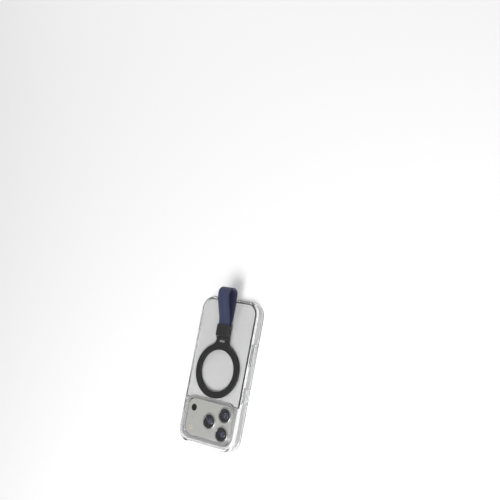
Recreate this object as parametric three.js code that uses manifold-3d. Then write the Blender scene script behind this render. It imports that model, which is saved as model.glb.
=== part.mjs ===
import * as THREE from 'three';
import { mergeVertices } from 'three/addons/utils/BufferGeometryUtils.js';
import Module from 'manifold-3d';

// A clear magnetic phone case lying on its front rim, with a phone in it and a magnetic ring grip
// on its back. The grip's woven strap makes a finger loop past the case's end.
// Millimetres. +Z is up, out of the case's back, and +Y runs towards the camera end.

// Phone that the case is moulded to
const phoneWidth = 71.9;
const phoneLength = 150;
const phoneThickness = 8.75;
const phoneCorner = 12.6;
const phoneEdgeRound = 2.4;
const displayInset = 1.5;
const displayThickness = 0.9;
const displayProud = 0.15;
const plateauRise = 2.4;
const plateauEdge = 0.7;
const lensRadius = 6.85;
const lensBezelWall = 1.1;
const lensRise = 1.65;
const lensCoverThickness = 0.8;
const lensCoverSink = 0.2;
const lensLedge = 0.8;
const lensEdge = 0.3;
const sensorRadius = 3.5;
const flashRadius = 3.3;
const windowThickness = 0.6;
const windowClearance = 0.15;
const micRadius = 0.45;
const micDepth = 0.8;
const socketWidth = 9;
const socketHeight = 3.2;
const socketDepth = 6.5;
const tongueWidth = 6.7;
const tongueThickness = 0.8;
const tongueLength = 5;
const grilleHoleRadius = 0.75;
const grilleHoleDepth = 1.2;
const grilleHolePitch = 2.4;
const grilleHoleCount = 5;
const grilleCentre = 16;

// Case walls
const fitClearance = 0.15;
const wallThickness = 2.3;
const frontLipHeight = 1.2;
const frontLipReach = 1.6;
const outerEdgeRound = 2.1;
const plateThickness = 1.6;
const plateSideMargin = 4;
const plateFlangeThickness = 0.6;
const plateFlangeReach = 1.1;
const plateCorner = 10;
const plateEndMargin = 3.9;
const plateShoulderRise = 2.6;
const seam = 0.3;

// Camera cut-out and its raised surround
const cutoutSideMargin = 5.75;
const cutoutEndMargin = 6.4;
const cutoutCorner = 8.6;
const surroundWall = 3.4;
const surroundRise = 2.9;
const surroundRound = 1.3;
const plateauClearance = 0.4;

// Distances of the lenses and windows from the cut-out's edges and from each other
const lensSideMargin = 9.1;
const lensLowMargin = 10.2;
const lensHighMargin = 8.3;
const lensPitch = 19.3;
const lensColumnStep = 18.9;
const windowSideMargin = 8.2;
const sensorLowMargin = 9.8;
const flashHighMargin = 7.2;

// Side buttons and the clear caps over them
const buttonProud = 0.3;
const buttonDepth = 1.3;
const buttonHeight = 2.6;
const buttonClearance = 0.15;
const buttonTravel = 0.3;
const capProud = 0.8;
const capHeight = 4.4;
const capMargin = 1.6;
const capGap = 0.3;
const capButtonGap = 0.1;
const capEdge = 0.35;
const actionButtonLength = 6.6;
const volumeButtonLength = 8.6;
const sideButtonLength = 13.2;
const cameraControlLength = 19.2;

// Distances of the buttons' middles from the phone's camera end
const actionButtonPlace = 35;
const volumeUpPlace = 48.5;
const volumeDownPlace = 61.5;
const sideButtonPlace = 56.8;
const cameraControlPlace = 98.3;

// Cut-outs at the charging end
const portCutoutWidth = 13.2;
const portCutoutHeight = 6.4;
const speakerCutoutWidth = 13.4;
const speakerCutoutHeight = 3;

// Magnets in the case's back plate
const magnetThickness = 0.7;
const magnetCoverThickness = 0.2;
const magnetCount = 10;
const magnetSpacing = 1.2;
const magnetClearance = 0.2;

// Ring grip
const gripOuter = 28.5;
const gripBand = 6.8;
const gripWall = 1.4;
const gripThickness = 2.4;
const gripEdge = 0.55;
const padThickness = 0.3;
const padInset = 0.3;
const gripMagnetThickness = 0.95;
const yokeThickness = 0.4;
const neckFillet = 6.5;
const neckLength = 6.7;
const neckRiseLength = 3.3;
const neckRise = 1.4;
const gripSurroundGap = 0.4;

// Keeper sleeve that holds the strap's two ends on the neck's tongue
const keeperLength = 12.5;
const keeperWall = 0.8;
const keeperSideWall = 0.85;
const keeperLift = 0.3;
const keeperCorner = 1.2;
const keeperRibs = 9;
const keeperRibDepth = 0.3;
const keeperRibGap = 0.7;
const keeperRibMargin = 1.5;
const keeperTongueThickness = 0.7;
const keeperTongueMargin = 1.8;
const keeperTongueLength = 9.5;

// Woven strap
const strapWidth = 14.6;
const strapThickness = 1.1;
const strapClearance = 0.25;
const strapEndSetback = 1.6;
const loopRadius = 6.7;
const loopOverhang = 3.55;
const loopTopSlope = 0.145;
const frontRunLead = 9;
const frontRunTail = 11;
const backRunLift = 0.3;
const backRunLead = 6;

// Heights and lengths that follow
const arcSteps = 4;
const roundSegments = 32;
const ringSegments = 56;
const caseWidth = phoneWidth + 2 * (fitClearance + wallThickness);
const caseLength = phoneLength + 2 * (fitClearance + wallThickness);
const plateWidth = caseWidth - 2 * plateSideMargin;
const caseCorner = phoneCorner + fitClearance + wallThickness;
const phoneFront = frontLipHeight;
const phoneBack = frontLipHeight + phoneThickness;
const backFace = phoneBack + plateThickness;
const phoneMiddle = phoneFront + phoneThickness / 2;
const plateauTop = phoneBack + plateauRise;
const gripInner = gripOuter - gripBand;
const magnetOuter = gripOuter - gripWall;
const magnetInner = gripInner + gripWall;
const neckWidth = strapWidth + 2 * (strapClearance + keeperSideWall);
const keeperTongueWidth = strapWidth - 2 * keeperTongueMargin;
const cutoutWidth = phoneWidth - 2 * cutoutSideMargin;
const cutoutLength = lensLowMargin + lensPitch + lensHighMargin;
const cutoutCentre = phoneLength / 2 - cutoutEndMargin - cutoutLength / 2;
const surroundLow = cutoutCentre - cutoutLength / 2 - surroundWall;
const magnetRingY = surroundLow - gripSurroundGap - gripOuter;
const plateauWidth = cutoutWidth - 2 * plateauClearance;
const plateauLength = cutoutLength - 2 * plateauClearance;
const plateauCorner = cutoutCorner - plateauClearance;
const surroundTop = backFace + surroundRise;
const lensCoverLow = lensRise - lensCoverSink - lensCoverThickness;
const phoneEnd = -phoneLength / 2;
const caseEnd = -caseLength / 2;
const neckTop = backFace + gripThickness + neckRise;
const neckEnd = magnetRingY - gripOuter - neckLength;
const keeperStart = neckEnd - seam;
const keeperEnd = keeperStart - keeperLength;
const lowerStrapZ = backFace + keeperLift + keeperWall + strapClearance + strapThickness / 2;
const keeperTongueZ = lowerStrapZ + strapThickness / 2 + strapClearance;
const upperStrapZ = keeperTongueZ + keeperTongueThickness + strapClearance + strapThickness / 2;
const keeperTop = upperStrapZ + strapThickness / 2 + strapClearance + keeperWall;
const backRunZ = backFace + backRunLift + strapThickness / 2;
const loopCentre = caseEnd - loopOverhang;
const loopEnd = loopCentre - loopRadius - strapThickness / 2;

// Places of the lenses and windows on the plateau
const lensX = lensSideMargin - cutoutWidth / 2;
const lensLowY = cutoutCentre - cutoutLength / 2 + lensLowMargin;
const lensHighY = lensLowY + lensPitch;
const lensMiddleY = (lensLowY + lensHighY) / 2;
const lensPlaces = [
  [lensX, lensLowY],
  [lensX + lensColumnStep, lensMiddleY],
  [lensX, lensHighY],
];
const windowX = cutoutWidth / 2 - windowSideMargin;
const sensorPlace = [windowX, cutoutCentre - cutoutLength / 2 + sensorLowMargin];
const micPlace = [windowX, lensMiddleY];
const flashPlace = [windowX, cutoutCentre + cutoutLength / 2 - flashHighMargin];

// Buttons: the side that they are on, their middle along the phone and their length
const buttons = [
  { name: 'action', side: 1, place: actionButtonPlace, length: actionButtonLength },
  { name: 'volume_up', side: 1, place: volumeUpPlace, length: volumeButtonLength },
  { name: 'volume_down', side: 1, place: volumeDownPlace, length: volumeButtonLength },
  { name: 'side', side: -1, place: sideButtonPlace, length: sideButtonLength },
  { name: 'camera_control', side: -1, place: cameraControlPlace, length: cameraControlLength },
].map((button) => ({ ...button, centre: phoneLength / 2 - button.place }));

// The origin is under the middle of the whole object, at the height of the surface it lies on
const originY = (caseLength / 2 + loopEnd) / 2;

const wasm = await Module();
wasm.setup();

// Solids for cutting and joining

function toSolid(geometry) {
  const bare = geometry.clone();
  bare.deleteAttribute('normal');
  bare.deleteAttribute('uv');
  const merged = mergeVertices(bare, 1e-4);
  return new wasm.Manifold(
    new wasm.Mesh({
      numProp: 3,
      vertProperties: new Float32Array(merged.attributes.position.array),
      triVerts: new Uint32Array(merged.index.array),
    })
  );
}

function toGeometry(solid) {
  const mesh = solid.getMesh();
  const geometry = new THREE.BufferGeometry();
  geometry.setAttribute('position', new THREE.BufferAttribute(mesh.vertProperties, 3));
  geometry.setIndex(new THREE.BufferAttribute(mesh.triVerts, 1));
  geometry.computeVertexNormals();
  return geometry;
}

function joinAll(solids) {
  return solids.reduce((whole, solid) => whole.add(solid));
}

function cutAll(solid, cutters) {
  return cutters.reduce((rest, cutter) => rest.subtract(cutter), solid);
}

// Outlines

function roundedRectangle(width, length, corner, centreX = 0, centreY = 0) {
  const right = width / 2 - corner;
  const top = length / 2 - corner;
  const shape = new THREE.Shape();
  shape.absarc(centreX + right, centreY + top, corner, 0, Math.PI / 2);
  shape.absarc(centreX - right, centreY + top, corner, Math.PI / 2, Math.PI);
  shape.absarc(centreX - right, centreY - top, corner, Math.PI, 1.5 * Math.PI);
  shape.absarc(centreX + right, centreY - top, corner, 1.5 * Math.PI, 2 * Math.PI);
  return shape;
}

function pill(width, height) {
  return roundedRectangle(width, height, Math.min(width, height) / 2 - 0.01);
}

function sector(inner, outer, start, end) {
  const shape = new THREE.Shape();
  shape.absarc(0, 0, outer, start, end);
  shape.absarc(0, 0, inner, end, start, true);
  return shape;
}

// Prisms that stand on a height, with plain or rounded ends

function prism(shape, low, high, steps = arcSteps) {
  const geometry = new THREE.ExtrudeGeometry(shape, {
    depth: high - low,
    bevelEnabled: false,
    curveSegments: steps,
  });
  return geometry.translate(0, 0, low);
}

function roundedPrism(shape, low, high, round, roundSteps = 3, steps = arcSteps) {
  const geometry = new THREE.ExtrudeGeometry(shape, {
    depth: high - low - 2 * round,
    bevelThickness: round,
    bevelSize: round,
    bevelOffset: -round,
    bevelSegments: roundSteps,
    curveSegments: steps,
  });
  return geometry.translate(0, 0, low + round);
}

function turned(points, segments) {
  const profile = points.map(([radius, height]) => new THREE.Vector2(radius, height));
  profile.push(profile[0].clone());
  return new THREE.LatheGeometry(profile, segments).rotateX(Math.PI / 2);
}

function disc(radius, low, high, segments = 24) {
  const geometry = new THREE.CylinderGeometry(radius, radius, high - low, segments);
  return geometry.rotateX(Math.PI / 2).translate(0, 0, (low + high) / 2);
}

// A block whose outline is drawn on a side wall: its width runs along Y and it points along X
function sideBlock(shape, inner, outer, side, centreY, round = 0) {
  const depth = outer - inner;
  const geometry = round > 0
    ? roundedPrism(shape, 0, depth, round, 2, 3)
    : prism(shape, 0, depth, 3);
  geometry.rotateX(Math.PI / 2).rotateZ(Math.PI / 2);
  if (side < 0) {
    geometry.rotateZ(Math.PI);
  }
  return geometry.translate(side * inner, centreY, phoneMiddle);
}

// A block whose outline is drawn on the charging end's wall, running along Y between two places
function endBlock(shape, low, high, centreX, centreZ = phoneMiddle) {
  const geometry = prism(shape, 0, high - low, 3).rotateX(Math.PI / 2);
  return geometry.translate(centreX, high, centreZ);
}

// Materials

function material(color, roughness, metalness, opacity = 1) {
  return new THREE.MeshStandardMaterial({
    color,
    roughness,
    metalness,
    opacity,
    transparent: opacity < 1,
  });
}

const finishes = {
  clearPlate: () => material(0xe9ebec, 0.08, 0, 0.25),
  clearFrame: () => material(0xe2e4e6, 0.22, 0, 0.35),
  housing: () => material(0xb9bab8, 0.4, 0.85),
  polished: () => material(0xc9cac8, 0.2, 0.95),
  display: () => material(0x08090b, 0.06, 0),
  lens: () => material(0x10131c, 0.04, 0),
  flash: () => material(0xe8e2cf, 0.25, 0),
  magnet: () => material(0x8d9094, 0.3, 0.9),
  film: () => material(0xd8dadb, 0.4, 0, 0.5),
  grip: () => material(0x353535, 0.62, 0),
  pad: () => material(0x242424, 0.85, 0),
  steel: () => material(0x9a9c9e, 0.35, 1),
  keeper: () => material(0x3f3f3e, 0.7, 0),
  strap: () => material(0x454a67, 0.9, 0),
};

const part = new THREE.Group();
part.position.y = -originY;

function add(name, geometry, finish, parent = part) {
  const mesh = new THREE.Mesh(geometry, finish());
  mesh.name = name;
  parent.add(mesh);
  return mesh;
}

// Phone

const displayWidth = phoneWidth - 2 * displayInset;
const displayLength = phoneLength - 2 * displayInset;
const displayCorner = phoneCorner - displayInset;
const housingFront = phoneFront + displayProud;

function phoneHousing() {
  const outline = roundedRectangle(phoneWidth, phoneLength, phoneCorner);
  const body = toSolid(roundedPrism(outline, housingFront, phoneBack, phoneEdgeRound));
  const plateauOutline = roundedRectangle(
    plateauWidth, plateauLength, plateauCorner, 0, cutoutCentre
  );
  const plateauLow = phoneBack - 3 * plateauEdge;
  const plateau = toSolid(roundedPrism(plateauOutline, plateauLow, plateauTop, plateauEdge, 2));
  const pocket = roundedRectangle(
    displayWidth + 2 * seam, displayLength + 2 * seam, displayCorner + seam
  );
  const cutters = [
    toSolid(prism(pocket, 0, phoneFront + displayThickness)),
    ...buttons.map((button) => buttonPocket(button)),
    ...windowPockets(),
    toSolid(endBlock(pill(socketWidth, socketHeight), phoneEnd - 1, phoneEnd + socketDepth, 0)),
    ...grilleHoles(),
  ];
  return toGeometry(cutAll(body.add(plateau), cutters));
}

function buttonPocket({ side, centre, length }) {
  const shape = pill(length + 2 * buttonClearance, buttonHeight + 2 * buttonClearance);
  const bottom = phoneWidth / 2 + buttonProud - buttonDepth - buttonTravel - buttonClearance;
  return toSolid(sideBlock(shape, bottom, phoneWidth / 2 + 1, side, centre));
}

function windowPockets() {
  const depth = plateauTop - windowThickness;
  const places = [
    [sensorPlace, sensorRadius + windowClearance, depth],
    [flashPlace, flashRadius + windowClearance, depth],
    [micPlace, micRadius, plateauTop - micDepth],
  ];
  return places.map(([place, radius, low]) =>
    toSolid(disc(radius, low, plateauTop + 1).translate(place[0], place[1], 0))
  );
}

function grilleHoles() {
  const holes = [];
  for (const side of [-1, 1]) {
    for (let i = 0; i < grilleHoleCount; i += 1) {
      const x = side * grilleCentre + (i - (grilleHoleCount - 1) / 2) * grilleHolePitch;
      const drill = new THREE.CylinderGeometry(
        grilleHoleRadius, grilleHoleRadius, grilleHoleDepth + 1, 10
      );
      drill.translate(x, phoneEnd + (grilleHoleDepth - 1) / 2, phoneMiddle);
      holes.push(toSolid(drill));
    }
  }
  return holes;
}

function lensBezel() {
  const inner = lensRadius + windowClearance;
  const outer = inner + lensBezelWall;
  return turned(
    [
      [lensRadius - lensLedge, 0],
      [outer, 0],
      [outer, lensRise - lensEdge],
      [outer - lensEdge, lensRise],
      [inner, lensRise],
      [inner, lensCoverLow],
      [lensRadius - lensLedge, lensCoverLow],
    ],
    roundSegments
  );
}

function lensCover() {
  return disc(lensRadius, lensCoverLow, lensCoverLow + lensCoverThickness, roundSegments);
}

function buildPhone() {
  const phone = new THREE.Group();
  part.add(phone);
  add('phone_housing', phoneHousing(), finishes.housing, phone);
  const face = roundedRectangle(displayWidth, displayLength, displayCorner);
  const displayBack = phoneFront + displayThickness;
  add('phone_display', prism(face, phoneFront, displayBack), finishes.display, phone);
  lensPlaces.forEach(([x, y], i) => {
    const lens = new THREE.Group();
    lens.position.set(x, y, plateauTop);
    phone.add(lens);
    add(`lens_bezel_${i + 1}`, lensBezel(), finishes.polished, lens);
    add(`lens_cover_${i + 1}`, lensCover(), finishes.lens, lens);
  });
  const windows = [
    ['sensor_window', sensorPlace, sensorRadius, finishes.lens],
    ['flash_window', flashPlace, flashRadius, finishes.flash],
  ];
  windows.forEach(([name, place, radius, finish]) => {
    const pane = add(name, disc(radius, -windowThickness, 0), finish, phone);
    pane.position.set(place[0], place[1], plateauTop);
  });
  const contactEnd = phoneEnd + socketDepth;
  const contact = roundedRectangle(tongueWidth, tongueThickness, tongueThickness / 3);
  const contactBlock = endBlock(contact, contactEnd - tongueLength, contactEnd, 0);
  add('charging_contact', contactBlock, finishes.pad, phone);
}

// Case

function plateOutline(grow) {
  const low = -phoneLength / 2 - fitClearance - wallThickness + plateEndMargin - grow;
  const high = surroundLow + plateShoulderRise + grow;
  const far = high + 2 * plateCorner;
  const outline = roundedRectangle(
    plateWidth + 2 * grow, far - low, plateCorner + grow, 0, (far + low) / 2
  );
  return { outline, high };
}

function surroundOutline(grow) {
  const wall = surroundWall + grow;
  return roundedRectangle(
    cutoutWidth + 2 * wall, cutoutLength + 2 * wall, cutoutCorner + wall, 0, cutoutCentre
  );
}

// The plate's outline between two heights, stopped at its shoulder and cut round by the surround
function plateSlab(grow, surroundGrow, low, high) {
  const { outline, high: shoulder } = plateOutline(grow);
  const slab = toSolid(prism(outline, low, high));
  const past = new THREE.BoxGeometry(2 * phoneWidth, phoneLength, phoneLength);
  past.translate(0, shoulder + phoneLength / 2, 0);
  const bite = prism(surroundOutline(surroundGrow), low - 1, high + 1);
  return cutAll(slab, [toSolid(past), toSolid(bite)]);
}

function magnetGroove() {
  const low = phoneBack;
  const high = phoneBack + magnetCoverThickness + magnetThickness + magnetClearance;
  const inner = magnetInner - magnetClearance;
  const outer = magnetOuter + magnetClearance;
  const groove = turned(
    [
      [inner, low - 1],
      [outer, low - 1],
      [outer, high],
      [inner, high],
    ],
    ringSegments
  );
  return toSolid(groove.translate(0, magnetRingY, 0));
}

function backPlate() {
  const flangeTop = phoneBack + plateFlangeThickness;
  const upper = plateSlab(0, seam, phoneBack, backFace);
  const flange = plateSlab(plateFlangeReach, seam - plateFlangeReach, phoneBack, flangeTop);
  return toGeometry(upper.add(flange).subtract(magnetGroove()));
}

function bumperFrame() {
  const outer = roundedRectangle(caseWidth, caseLength, caseCorner);
  const shell = toSolid(roundedPrism(outer, 0, backFace, outerEdgeRound, 4));
  const rimLow = phoneBack - surroundRound;
  const rim = toSolid(roundedPrism(surroundOutline(0), rimLow, surroundTop, surroundRound, 3));
  const phoneSpace = roundedRectangle(
    phoneWidth + 2 * fitClearance, phoneLength + 2 * fitClearance, phoneCorner + fitClearance
  );
  const view = roundedRectangle(
    phoneWidth - 2 * frontLipReach, phoneLength - 2 * frontLipReach, phoneCorner - frontLipReach
  );
  const camera = roundedRectangle(cutoutWidth, cutoutLength, cutoutCorner, 0, cutoutCentre);
  const flangeTop = phoneBack + plateFlangeThickness;
  const cutters = [
    toSolid(prism(phoneSpace, phoneFront, phoneBack)),
    toSolid(prism(view, -1, phoneFront + 1)),
    toSolid(prism(camera, phoneBack - 1, surroundTop + 1)),
    plateSlab(seam, 0, phoneBack - 1, backFace + 1),
    plateSlab(plateFlangeReach + seam, -plateFlangeReach, phoneBack - 1, flangeTop),
    ...buttons.map((button) => capSlot(button)),
    ...endCutouts(),
  ];
  return toGeometry(cutAll(shell.add(rim), cutters));
}

function capShape({ length }, grow) {
  return roundedRectangle(length + 2 * (capMargin + grow), capHeight + 2 * grow, 1 + grow);
}

function capSlot(button) {
  const inner = phoneWidth / 2 + fitClearance - 1;
  const outer = caseWidth / 2 + 1;
  return toSolid(sideBlock(capShape(button, capGap), inner, outer, button.side, button.centre));
}

function endCutouts() {
  const low = caseEnd - 1;
  const high = phoneEnd + 0.5;
  const port = endBlock(pill(portCutoutWidth, portCutoutHeight), low, high, 0);
  const speakers = [-1, 1].map((side) =>
    endBlock(pill(speakerCutoutWidth, speakerCutoutHeight), low, high, side * grilleCentre)
  );
  return [port, ...speakers].map((cutter) => toSolid(cutter));
}

function magnetArcs(prefix, low, thickness, finish, parent) {
  const step = (2 * Math.PI) / magnetCount;
  const half = step / 2 - magnetSpacing / (magnetInner + magnetOuter);
  const arc = sector(magnetInner, magnetOuter, -half, half);
  for (let i = 0; i < magnetCount; i += 1) {
    const magnet = add(
      `${prefix}_${String(i + 1).padStart(2, '0')}`,
      prism(arc, low, low + thickness, 3),
      finish,
      parent
    );
    magnet.rotation.z = (i + 0.5) * step;
  }
}

function buildCase() {
  const shell = new THREE.Group();
  part.add(shell);
  add('back_plate', backPlate(), finishes.clearPlate, shell);
  add('bumper_frame', bumperFrame(), finishes.clearFrame, shell);
  const ring = new THREE.Group();
  ring.position.y = magnetRingY;
  shell.add(ring);
  const coverTop = phoneBack + magnetCoverThickness;
  const cover = turned(
    [
      [magnetInner, phoneBack],
      [magnetOuter, phoneBack],
      [magnetOuter, coverTop],
      [magnetInner, coverTop],
    ],
    ringSegments
  );
  add('magnet_cover', cover, finishes.film, ring);
  magnetArcs('case_magnet', coverTop, magnetThickness, finishes.magnet, ring);
}

// Buttons under their caps

function buildButtons() {
  const buttonFace = phoneWidth / 2 + buttonProud;
  const capInner = buttonFace + capButtonGap;
  const capOuter = caseWidth / 2 + capProud;
  for (const button of buttons) {
    const { name, side, centre, length } = button;
    const metal = sideBlock(
      pill(length, buttonHeight), buttonFace - buttonDepth, buttonFace, side, centre
    );
    add(`${name}_button`, metal, finishes.polished);
    const cap = sideBlock(capShape(button, 0), capInner, capOuter, side, centre, capEdge);
    add(`${name}_cap`, cap, finishes.clearFrame);
  }
}

// Ring grip

const padTop = backFace + padThickness;
const gripTop = backFace + gripThickness;
const yokeLow = padTop + gripMagnetThickness;
const yokeTop = yokeLow + yokeThickness;

function gripRing() {
  const inner = magnetInner - magnetClearance;
  const outer = magnetOuter + magnetClearance;
  const grooveTop = yokeTop + magnetClearance / 2;
  const ring = turned(
    [
      [gripInner, padTop],
      [inner, padTop],
      [inner, grooveTop],
      [outer, grooveTop],
      [outer, padTop],
      [gripOuter, padTop],
      [gripOuter, gripTop - gripEdge],
      [gripOuter - gripEdge / 3, gripTop - gripEdge / 3],
      [gripOuter - gripEdge, gripTop],
      [gripInner + gripEdge, gripTop],
      [gripInner + gripEdge / 3, gripTop - gripEdge / 3],
      [gripInner, gripTop - gripEdge],
    ],
    ringSegments
  );
  return toSolid(ring);
}

// The neck's outline runs out of the ring through two hollow fillets
function neckOutline() {
  const half = neckWidth / 2;
  const reach = half + neckFillet;
  const filletY = -Math.sqrt((gripOuter + neckFillet) ** 2 - reach ** 2);
  const meet = Math.atan2(-filletY, -reach);
  const inside = (gripInner + gripOuter) / 2;
  const shape = new THREE.Shape();
  shape.moveTo(-half, neckEnd - magnetRingY);
  shape.lineTo(half, neckEnd - magnetRingY);
  shape.absarc(reach, filletY, neckFillet, Math.PI, meet, true);
  shape.absarc(0, 0, inside, -Math.PI / 3, (-2 * Math.PI) / 3, true);
  shape.absarc(-reach, filletY, neckFillet, Math.PI - meet, 0, true);
  return shape;
}

// The side profile of the neck, drawn along the strap and as wide as the neck
function neckProfile() {
  const riseStart = neckEnd + neckRiseLength;
  const riseMiddle = neckEnd + neckRiseLength / 2;
  const profile = new THREE.Shape();
  profile.moveTo(magnetRingY, padTop);
  profile.lineTo(magnetRingY, gripTop);
  profile.lineTo(riseStart, gripTop);
  profile.bezierCurveTo(riseMiddle, gripTop, riseMiddle, neckTop, neckEnd, neckTop);
  profile.lineTo(neckEnd, padTop);
  return alongX(profile, 3 * neckWidth);
}

function alongX(profile, width) {
  const geometry = prism(profile, -width / 2, width / 2, 8);
  return geometry.rotateX(Math.PI / 2).rotateZ(Math.PI / 2);
}

function buildGrip() {
  const grip = new THREE.Group();
  grip.position.y = magnetRingY;
  part.add(grip);
  const profile = toSolid(neckProfile().translate(0, -magnetRingY, 0));
  const neck = toSolid(prism(neckOutline(), padTop, neckTop + 1, 6)).intersect(profile);
  const bore = toSolid(disc(magnetOuter + magnetClearance, 0, neckTop + 2, ringSegments));
  const tongueEnd = neckEnd - magnetRingY;
  const tongueBlock = new THREE.BoxGeometry(
    keeperTongueWidth, keeperTongueLength + 1, keeperTongueThickness
  );
  tongueBlock.translate(
    0,
    tongueEnd - (keeperTongueLength - 1) / 2,
    keeperTongueZ + keeperTongueThickness / 2
  );
  const body = joinAll([gripRing(), neck.subtract(bore), toSolid(tongueBlock)]);
  add('grip_ring', toGeometry(body), finishes.grip, grip);
  const pad = turned(
    [
      [gripInner + padInset, backFace],
      [gripOuter - padInset, backFace],
      [gripOuter - padInset, padTop],
      [gripInner + padInset, padTop],
    ],
    ringSegments
  );
  add('grip_pad', pad, finishes.pad, grip);
  const yoke = turned(
    [
      [magnetInner, yokeLow],
      [magnetOuter, yokeLow],
      [magnetOuter, yokeTop],
      [magnetInner, yokeTop],
    ],
    ringSegments
  );
  add('grip_yoke', yoke, finishes.steel, grip);
  magnetArcs('grip_magnet', padTop, gripMagnetThickness, finishes.magnet, grip);
}

function keeperSleeve() {
  const width = neckWidth;
  const low = backFace + keeperLift;
  const middle = (low + keeperTop) / 2;
  const height = keeperTop - low;
  const outline = roundedRectangle(width, height, keeperCorner);
  const sleeve = toSolid(endBlock(outline, keeperEnd, keeperStart, 0, middle));
  const hollow = new THREE.BoxGeometry(
    strapWidth + 2 * strapClearance, keeperLength + 2, height - 2 * keeperWall
  );
  hollow.translate(0, (keeperStart + keeperEnd) / 2, middle);
  const pitch = (width - 2 * keeperCorner) / keeperRibs;
  const grooves = [];
  for (let i = 0; i < keeperRibs; i += 1) {
    const groove = new THREE.BoxGeometry(
      keeperRibGap, keeperLength - 2 * keeperRibMargin, 2 * keeperRibDepth
    );
    const x = (i - (keeperRibs - 1) / 2) * pitch;
    groove.translate(x, (keeperStart + keeperEnd) / 2, keeperTop);
    grooves.push(toSolid(groove));
  }
  return toGeometry(cutAll(sleeve, [toSolid(hollow), ...grooves]));
}

// The strap's middle line, seen from the side: out of the keeper on top, round the finger and
// back along the case into the keeper
function strapLine() {
  const mouth = keeperEnd;
  const inside = keeperStart - strapEndSetback;
  const loopZ = backRunZ + loopRadius;
  const topAngle = Math.PI / 2 - loopTopSlope;
  const topY = loopCentre + loopRadius * Math.cos(topAngle);
  const topZ = loopZ + loopRadius * Math.sin(topAngle);
  const line = new THREE.CurvePath();
  const at = (y, z) => new THREE.Vector2(y, z);
  line.add(new THREE.LineCurve(at(inside, upperStrapZ), at(mouth, upperStrapZ)));
  line.add(
    new THREE.CubicBezierCurve(
      at(mouth, upperStrapZ),
      at(mouth - frontRunLead, upperStrapZ),
      at(topY + frontRunTail, topZ - frontRunTail * Math.tan(loopTopSlope)),
      at(topY, topZ)
    )
  );
  line.add(
    new THREE.EllipseCurve(
      loopCentre, loopZ, loopRadius, loopRadius, topAngle, 1.5 * Math.PI, false
    )
  );
  line.add(new THREE.LineCurve(at(loopCentre, backRunZ), at(mouth - backRunLead, backRunZ)));
  line.add(
    new THREE.CubicBezierCurve(
      at(mouth - backRunLead, backRunZ),
      at(mouth - backRunLead / 2, backRunZ),
      at(mouth - backRunLead / 2, lowerStrapZ),
      at(mouth, lowerStrapZ)
    )
  );
  line.add(new THREE.LineCurve(at(mouth, lowerStrapZ), at(inside, lowerStrapZ)));
  return line;
}

function strapLoop() {
  const middle = strapLine().getPoints(12);
  const half = strapThickness / 2;
  const outer = [];
  const inner = [];
  middle.forEach((point, i) => {
    const before = middle[Math.max(i - 1, 0)];
    const after = middle[Math.min(i + 1, middle.length - 1)];
    const along = after.clone().sub(before).normalize();
    const across = new THREE.Vector2(-along.y, along.x);
    outer.push(point.clone().addScaledVector(across, -half));
    inner.push(point.clone().addScaledVector(across, half));
  });
  const band = new THREE.Shape([...outer, ...inner.reverse()]);
  return alongX(band, strapWidth);
}

buildPhone();
buildCase();
buildButtons();
buildGrip();
add('strap_keeper', keeperSleeve(), finishes.keeper);
add('strap_loop', strapLoop(), finishes.strap);

export default part;
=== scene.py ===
import math

import bmesh
import bpy
from bpy.props import FloatProperty, FloatVectorProperty, IntProperty, PointerProperty
from mathutils import Matrix, Quaternion, Vector


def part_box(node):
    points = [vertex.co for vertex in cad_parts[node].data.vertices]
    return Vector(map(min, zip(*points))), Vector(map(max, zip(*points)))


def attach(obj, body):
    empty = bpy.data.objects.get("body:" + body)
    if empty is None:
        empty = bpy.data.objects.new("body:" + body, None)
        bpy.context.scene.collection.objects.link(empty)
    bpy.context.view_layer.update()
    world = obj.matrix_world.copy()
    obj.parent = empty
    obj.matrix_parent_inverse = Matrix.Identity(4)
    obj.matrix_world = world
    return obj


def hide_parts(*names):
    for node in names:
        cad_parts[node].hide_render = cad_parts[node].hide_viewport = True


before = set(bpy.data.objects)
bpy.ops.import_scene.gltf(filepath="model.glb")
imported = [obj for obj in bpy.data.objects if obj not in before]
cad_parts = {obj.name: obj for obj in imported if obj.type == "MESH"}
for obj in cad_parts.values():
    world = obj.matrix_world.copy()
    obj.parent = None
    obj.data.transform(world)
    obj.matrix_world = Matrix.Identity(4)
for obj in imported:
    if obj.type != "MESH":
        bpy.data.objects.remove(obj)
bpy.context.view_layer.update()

bl_info = {
    "name": "Magnetic phone case",
    "version": (1, 0, 0),
    "blender": (4, 5, 0),
    "location": "3D View > Sidebar > Phone case",
    "description": "Dresses a clear phone case with its ring grip, strap and phone",
    "category": "Add Mesh",
}

MM = 0.001
X, Y, Z = 0, 1, 2
BODY = "case"
TINY = 2e-6
STRAP_STEP = 0.55 * MM
CUTTER_TOP = 0.03
# How far the ports lie below the middle of the housing's side
SIDE_DROP = 0.075 * MM
# The strap's room in the keeper, and how long it runs straight: out of the keeper on top,
# into the loop, and in its step back into the keeper
STRAP_CLEARANCE = 0.25 * MM
FRONT_LEAD = 9 * MM
FRONT_TAIL = 11 * MM
BACK_LEAD = 6 * MM


def span(node):
    """The lowest and highest corner of a node of the frame."""
    low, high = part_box(node)
    return Vector(low), Vector(high)


def middle(node):
    low, high = span(node)
    return (low + high) / 2


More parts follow.
